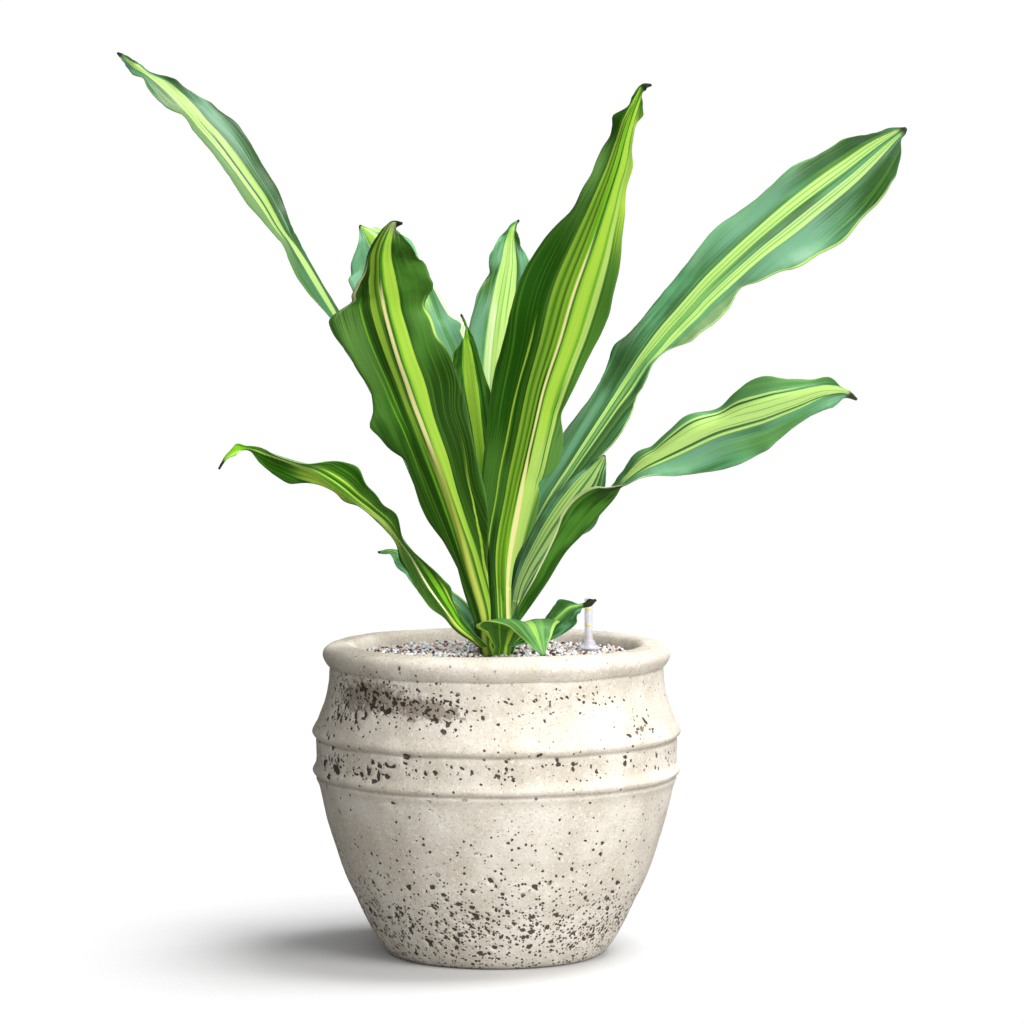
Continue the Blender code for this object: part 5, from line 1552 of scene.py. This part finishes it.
@dataclass
class Crown:
    """The bundle of clasping leaf bases: one sheath for each leaf, round a short core."""

    bottom: float = 183.0
    foot_height: float = 211.0
    foot_radius: float = 10.4
    waist_height: float = 219.0
    join_row: int = 7
    thickness: float = 1.3
    columns: int = 14
    rows: int = 20
    core_steps: int = 36

    def sheath(self, blade: Blade, order: int) -> tuple[np.ndarray, list, dict[str, np.ndarray]]:
        """Return one sheath, from its foot in the grains up onto the blade.

        Args:
            blade: the leaf that it carries.
            order: how far out it lies, in steps.

        Returns:
            Its vertices in millimetres, its faces, and the values it carries.
        """
        columns = blade.grid.shape[1]
        pick = np.linspace(0, columns - 1, self.columns + 1).round().astype(int)
        join = blade.grid[self.join_row][pick]
        low = blade.grid[0][columns // 2]
        turn = math.atan2(low[1], low[0])
        reach = blade.grid[0][-1] - blade.grid[0][0]
        sense = 1.0 if reach[0] * -math.sin(turn) + reach[1] * math.cos(turn) >= 0 else -1.0
        side = np.linspace(-1.0, 1.0, self.columns + 1)
        lift = 0.16 * order
        foot_angle = turn + sense * side * math.radians(46)
        waist_angle = turn + sense * side * math.radians(34)
        foot_radius = self.foot_radius + lift
        waist = 0.5 * (foot_radius + min(math.hypot(low[0], low[1]) + 1.5, 14.5)) + lift
        foot = np.stack([foot_radius * np.cos(foot_angle), foot_radius * np.sin(foot_angle),
                         np.full(len(side), self.foot_height)], axis=1)
        base = foot.copy()
        base[:, 2] = self.bottom
        middle = np.stack([waist * np.cos(waist_angle), waist * np.sin(waist_angle),
                           np.full(len(side), min(self.waist_height, low[2] - 3.0))], axis=1)
        keys = [base, foot, middle, join]
        grid = []
        for number in range(self.rows + 1):
            place = number / self.rows * (len(keys) - 1)
            index = min(int(place), len(keys) - 2)
            u = place - index
            ease = u * u * (3 - 2 * u)
            grid.append(keys[index] * (1 - ease) + keys[index + 1] * ease)
        grid = np.array(grid)
        normal = np.cross(np.gradient(grid, axis=0), np.gradient(grid, axis=1))
        normal /= np.maximum(np.linalg.norm(normal, axis=2, keepdims=True), 1e-9)
        skin = (0.5 * self.thickness * (1.0 - 0.6 * side ** 2))[None, :, None]
        points = np.stack([grid + normal * skin, grid - normal * skin]).reshape(-1, 3)
        rows, count = grid.shape[:2]
        offset = rows * count
        faces = [tuple(reversed(face)) for face in grid_faces(rows, count)]
        faces += grid_faces(rows, count, first=offset) + rim_faces(rows, count, offset)
        top = 1.0 if blade.upper is Upper.ALONG_NORMAL else 0.0
        join_along = self.join_row / (len(blade.grid) - 1)
        climb = np.repeat((np.arange(rows) / (rows - 1) - 1.0) * 0.12 + join_along, count)
        vein = blade.vein_place(blade.grid)[self.join_row][pick]
        values = {"across": np.tile(side, rows * 2), "along": np.tile(climb, 2),
                  "vein": np.tile(vein, rows * 2),
                  "upper": np.concatenate([np.full(offset, top), np.full(offset, 1.0 - top)])}
        return points, faces, values

    def build(self, leaves: list[Blade], effects: Effects) -> bpy.types.Object:
        """Build core and sheaths as one piece, each sheath in its own leaf's finish.

        Args:
            leaves: the built blades.
            effects: the shared node groups.

        Returns:
            The piece.
        """
        core = [(0.3, self.bottom), (8.6, self.bottom), (9.0, 208.0), (9.4, 216.0), (9.0, 222.0), (6.0, 227.0),
                (3.0, 229.0), (0.3, 229.5)]
        points = [turned_points(core, self.core_steps, (0.0, 0.0))]
        faces = grid_faces(len(core), self.core_steps, closed=True)
        faces.append(tuple(reversed(range(self.core_steps))))
        faces.append(tuple(range((len(core) - 1) * self.core_steps, len(core) * self.core_steps)))
        count = len(points[0])
        around = np.tile(np.linspace(-0.8, 0.8, self.core_steps), len(core))
        carried = {"across": [around], "vein": [around], "along": [points[0][:, 2] / 100.0],
                   "upper": [np.zeros(count)]}
        finishes = [0] * len(faces)
        for order, blade in enumerate(leaves):
            sheath_points, sheath_faces, values = self.sheath(blade, order % 5)
            points.append(sheath_points)
            faces += [tuple(count + corner for corner in face) for face in sheath_faces]
            finishes += [order + 1] * len(sheath_faces)
            for label, numbers in values.items():
                carried[label].append(numbers)
            count += len(sheath_points)
        piece = shown("sheathing_crown", np.concatenate(points) * MM, faces, SheathFinish().make(effects))
        for blade in leaves:
            piece.data.materials.append(blade.finish)
        piece.data.polygons.foreach_set("material_index", finishes)
        facing_out(piece)
        for label, parts in carried.items():
            carry(piece, label, np.concatenate(parts))
        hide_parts("crown")
        return piece


# The water-level gauge


@dataclass
class Gauge:
    """The gauge: clear tube with two yellow marks, flared clear collar, red-tipped float."""

    axis: tuple[float, float] = (65.5 * MM, 25.0 * MM)
    tube_radius: float = 3.0 * MM
    tube_wall: float = 0.7 * MM
    tube_bottom: float = 24.0 * MM
    tube_top: float = 250.0 * MM
    collar_radius: float = 8.5 * MM
    sleeve_radius: float = 4.2 * MM
    collar_bottom: float = 200.0 * MM
    collar_flare: float = 213.6 * MM
    collar_top: float = 220.0 * MM
    marks: tuple[float, float] = (242.0 * MM, 230.3 * MM)
    clear: PlasticFinish = PlasticFinish("clear_tube", (0.80, 0.79, 0.86), (0.88, 0.87, 0.93), 0.10, 0.40)
    frosted: PlasticFinish = PlasticFinish("clear_collar", (0.74, 0.73, 0.82), (0.86, 0.85, 0.92), 0.20, 0.45)
    red: PlasticFinish = PlasticFinish("float_red", (0.72, 0.085, 0.03), (0.80, 0.20, 0.05), 0.3)
    yellow: PlasticFinish = PlasticFinish("mark_yellow", (0.86, 0.66, 0.10), (0.90, 0.74, 0.22), 0.4)

    def build(self, effects: Effects) -> list[bpy.types.Object]:
        """Build the gauge's pieces.

        Args:
            effects: the shared node groups.

        Returns:
            The pieces.
        """
        clear = self.clear.make(effects)
        frosted = self.frosted.make(effects)
        inner = self.tube_radius - self.tube_wall
        dome = [(self.tube_radius * math.sin(math.radians(a)),
                 self.tube_top - 1.2 * MM + 1.2 * MM * math.cos(math.radians(a))) for a in (5, 25, 45, 65, 80)]
        hollow = [(inner * math.sin(math.radians(a)),
                   self.tube_top - 1.5 * MM + 0.8 * MM * math.cos(math.radians(a))) for a in (85, 60, 35, 8)]
        wall = [(self.tube_radius, self.tube_top - 1.2 * MM), (self.tube_radius, self.tube_bottom)]
        section = dome + wall + [(inner, self.tube_bottom), (inner, self.tube_top - 1.6 * MM)] + hollow
        tube = turned_piece("clear_tube", section, 48, self.axis, clear)
        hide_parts("gauge_tube")
        bore = self.tube_radius + 0.3 * MM
        collar_section = [
            (bore, self.collar_bottom), (bore, self.collar_top - 0.3 * MM), (bore + 0.3 * MM, self.collar_top),
            (bore + 0.8 * MM, self.collar_top - 0.1 * MM), (bore + 1.1 * MM, self.collar_top - 1.0 * MM),
            (bore + 1.7 * MM, self.collar_top - 2.7 * MM), (bore + 2.9 * MM, self.collar_flare + 2.2 * MM),
            (self.collar_radius - 0.4 * MM, self.collar_flare + 1.1 * MM),
            (self.collar_radius, self.collar_flare + 0.6 * MM),
            (self.collar_radius - 0.2 * MM, self.collar_flare + 0.1 * MM),
            (self.sleeve_radius + 0.6 * MM, self.collar_flare), (self.sleeve_radius, self.collar_flare - 0.6 * MM),
            (self.sleeve_radius, self.collar_bottom), (bore, self.collar_bottom)]
        collar = turned_piece("flared_collar", collar_section, 56, self.axis, frosted)
        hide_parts("gauge_collar")
        foot = 20.6 * MM
        float_section = [
            (0.2 * MM, foot), (1.6 * MM, foot), (1.9 * MM, foot + 0.4 * MM), (1.9 * MM, foot + 39.4 * MM),
            (1.5 * MM, foot + 40.0 * MM), (0.7 * MM, foot + 40.2 * MM), (0.7 * MM, 214.6 * MM), (1.3 * MM, 215.0 * MM),
            (1.6 * MM, 215.5 * MM), (1.6 * MM, 218.2 * MM), (1.2 * MM, 218.9 * MM), (0.2 * MM, 219.0 * MM)]
        indicator = turned_piece("red_float", float_section, 32, self.axis, self.red.make(effects),
                                 FLOAT_BODY)
        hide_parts("gauge_float")
        yellow = self.yellow.make(effects)
        marks = [self.mark(f"level_mark_{number + 1}", height, yellow) for number, height in enumerate(self.marks)]
        for piece in (tube, collar, indicator, *marks):
            facing_out(piece)
        return [tube, collar, indicator, *marks]

    def mark(self, name: str, height: float, material: bpy.types.Material) -> bpy.types.Object:
        """Build one level mark, a short raised bar on the front of the tube.

        Args:
            name: the piece's name.
            height: its middle, in metres.
            material: its finish.

        Returns:
            The piece.
        """
        angles = [math.radians(-90 + 6.0 * k) for k in range(-8, 9)]
        rings = []
        for radius, level in ((self.tube_radius - 0.02 * MM, -0.75), (self.tube_radius + 0.16 * MM, -0.6),
                              (self.tube_radius + 0.16 * MM, 0.6), (self.tube_radius - 0.02 * MM, 0.75)):
            rings.append([(self.axis[0] + radius * math.cos(a), self.axis[1] + radius * math.sin(a),
                           height + level * MM) for a in angles])
        points = [point for ring in rings for point in ring]
        count = len(angles)
        faces = grid_faces(4, count)
        faces += [(k, 3 * count + k, 3 * count + k + 1, k + 1) for k in range(count - 1)]
        faces += [(0, count, 2 * count, 3 * count), (count - 1, 4 * count - 1, 3 * count - 1, 2 * count - 1)]
        return shown(name, points, faces, material, smooth=False)


# The grow pot and the studio


@dataclass
class GrowPot:
    """The inner grow pot, which keeps its CAD solid and gets a moulded plastic finish."""

    finish: PlasticFinish = PlasticFinish("grow_pot_plastic", (0.028, 0.028, 0.032), (0.05, 0.05, 0.055), 0.5)

    def dress(self, nodes: dict[str, bpy.types.Object], effects: Effects) -> bpy.types.Object:
        """Give the CAD node its finish.

        Args:
            nodes: the frame's nodes.
            effects: the shared node groups.

        Returns:
            The node's object.
        """
        cup = nodes["culture_pot"]
        cup.data.materials.clear()
        cup.data.materials.append(self.finish.make(effects))
        return cup


@dataclass
class Studio:
    """A white floor, soft light from the right and the camera."""

    lens: float = 150.0
    camera_place: tuple[float, float, float] = (0.0109, -3.0, 0.522)
    camera_pitch: float = 3.99
    floor_reach: float = 1.6
    fade: tuple[float, float] = (0.14, 0.34)
    pale: Colour = (0.80, 0.80, 0.80)
    bounce: Colour = (0.30, 0.30, 0.30)

    def build(self) -> None:
        """Build floor, world, lights and camera."""
        self.floor()
        self.world()
        self.area("side_light", (0.72, 0.10, 2.07), (0.0, 0.0, 0.2), 1.0, 42.0)
        self.area("key_light", (1.66, -1.84, 1.05), (0.0, 0.0, 0.25), 1.5, 66.0)
        self.area("front_light", (-0.10, -2.60, 0.70), (0.0, 0.0, 0.30), 1.8, 30.0)
        self.area("top_light", (0.0, 0.2, 2.4), (0.0, 0.0, 0.3), 1.6, 7.0)
        self.camera()

    def floor(self) -> None:
        """Build the plain pale floor."""
        reach = self.floor_reach
        mesh = bpy.data.meshes.new("studio_floor")
        mesh.from_pydata([(-reach, -reach, 0), (reach, -reach, 0), (reach, reach, 0), (-reach, reach, 0)],
                         [], [(0, 1, 2, 3)])
        material, it, shader = new_material("floor_white")
        place = it.node("ShaderNodeTexCoord").outputs["Object"]
        it.feed(shader.inputs["Roughness"], it.scaled(it.noise(place, 40.0), 0.1, 0.85))
        seen = it.node("ShaderNodeLightPath").outputs["Is Camera Ray"]
        it.feed(shader.inputs["Base Color"], it.mix(seen, self.bounce, self.pale))
        away = it.node("ShaderNodeVectorMath", operation="LENGTH")
        it.feed(away.inputs[0], place)
        far = it.rise(away.outputs["Value"], self.fade[0], self.fade[1])
        it.feed(shader.inputs["Alpha"], it.math("SUBTRACT", 1.0, far))
        shader.inputs["Specular IOR Level"].default_value = 0.1
        mesh.materials.append(material)
        floor = bpy.data.objects.new("studio_floor", mesh)
        bpy.context.scene.collection.objects.link(floor)

    def world(self) -> None:
        """Make the surround: white to the eye, softer as a light."""
        world = bpy.data.worlds.new("studio_surround")
        bpy.context.scene.world = world
        world.use_nodes = True
        it = Bench(world.node_tree)
        surround = world.node_tree.nodes["Background"]
        seen = it.node("ShaderNodeLightPath").outputs["Is Camera Ray"]
        surround.inputs["Color"].default_value = (1.0, 1.0, 1.0, 1.0)
        it.feed(surround.inputs["Strength"], it.scaled(seen, 0.87, 0.15))

    def area(self, name: str, place: tuple, target: tuple, size: float, power: float) -> None:
        """Make a soft square light.

        Args:
            name: its name.
            place: where it stands, in metres.
            target: the point it is aimed at.
            size: its side, in metres.
            power: its strength in watts.
        """
        light = bpy.data.lights.new(name, "AREA")
        light.energy = power
        light.size = size
        lamp = bpy.data.objects.new(name, light)
        lamp.location = place
        lamp.rotation_euler = (Vector(target) - Vector(place)).to_track_quat("-Z", "Y").to_euler()
        bpy.context.scene.collection.objects.link(lamp)

    def camera(self) -> None:
        """Make the camera at the photograph's angle."""
        data = bpy.data.cameras.new("studio_camera")
        data.lens = self.lens
        data.sensor_width = 36.0
        camera = bpy.data.objects.new("studio_camera", data)
        camera.location = self.camera_place
        camera.rotation_euler = (math.radians(90.0 - self.camera_pitch), 0.0, 0.0)
        bpy.context.scene.collection.objects.link(camera)
        bpy.context.scene.camera = camera


def main() -> None:
    """Load the frame, build every piece round it, and log each piece's face count."""
    logging.basicConfig(level=logging.INFO, format="%(message)s")
    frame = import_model()
    bpy.context.scene.view_settings.view_transform = "Standard"
    studio = Studio()
    studio.build()
    LOG.info("studio: floor, surround, three lights, camera")
    noise.seed_set(3)
    effects = Effects()
    pieces = [GrowPot().dress(frame["nodes"], effects)]
    pieces.append(Planter().build(StoneFinish().make(effects)))
    leaves = blades()
    for blade in leaves:
        pieces.append(blade.build(effects))
    pieces.append(Crown().build(leaves, effects))
    gauge = Gauge()
    pieces += gauge.build(effects)
    keep_out = [(0.0, 0.0, 12.4 * MM), (*gauge.axis, gauge.collar_radius - 0.6 * MM)]
    pieces += Grains().build(effects, keep_out)
    for piece in pieces:
        LOG.info("%s: %d faces", piece.name, len(piece.data.polygons))


if __name__ == "__main__":
    main()
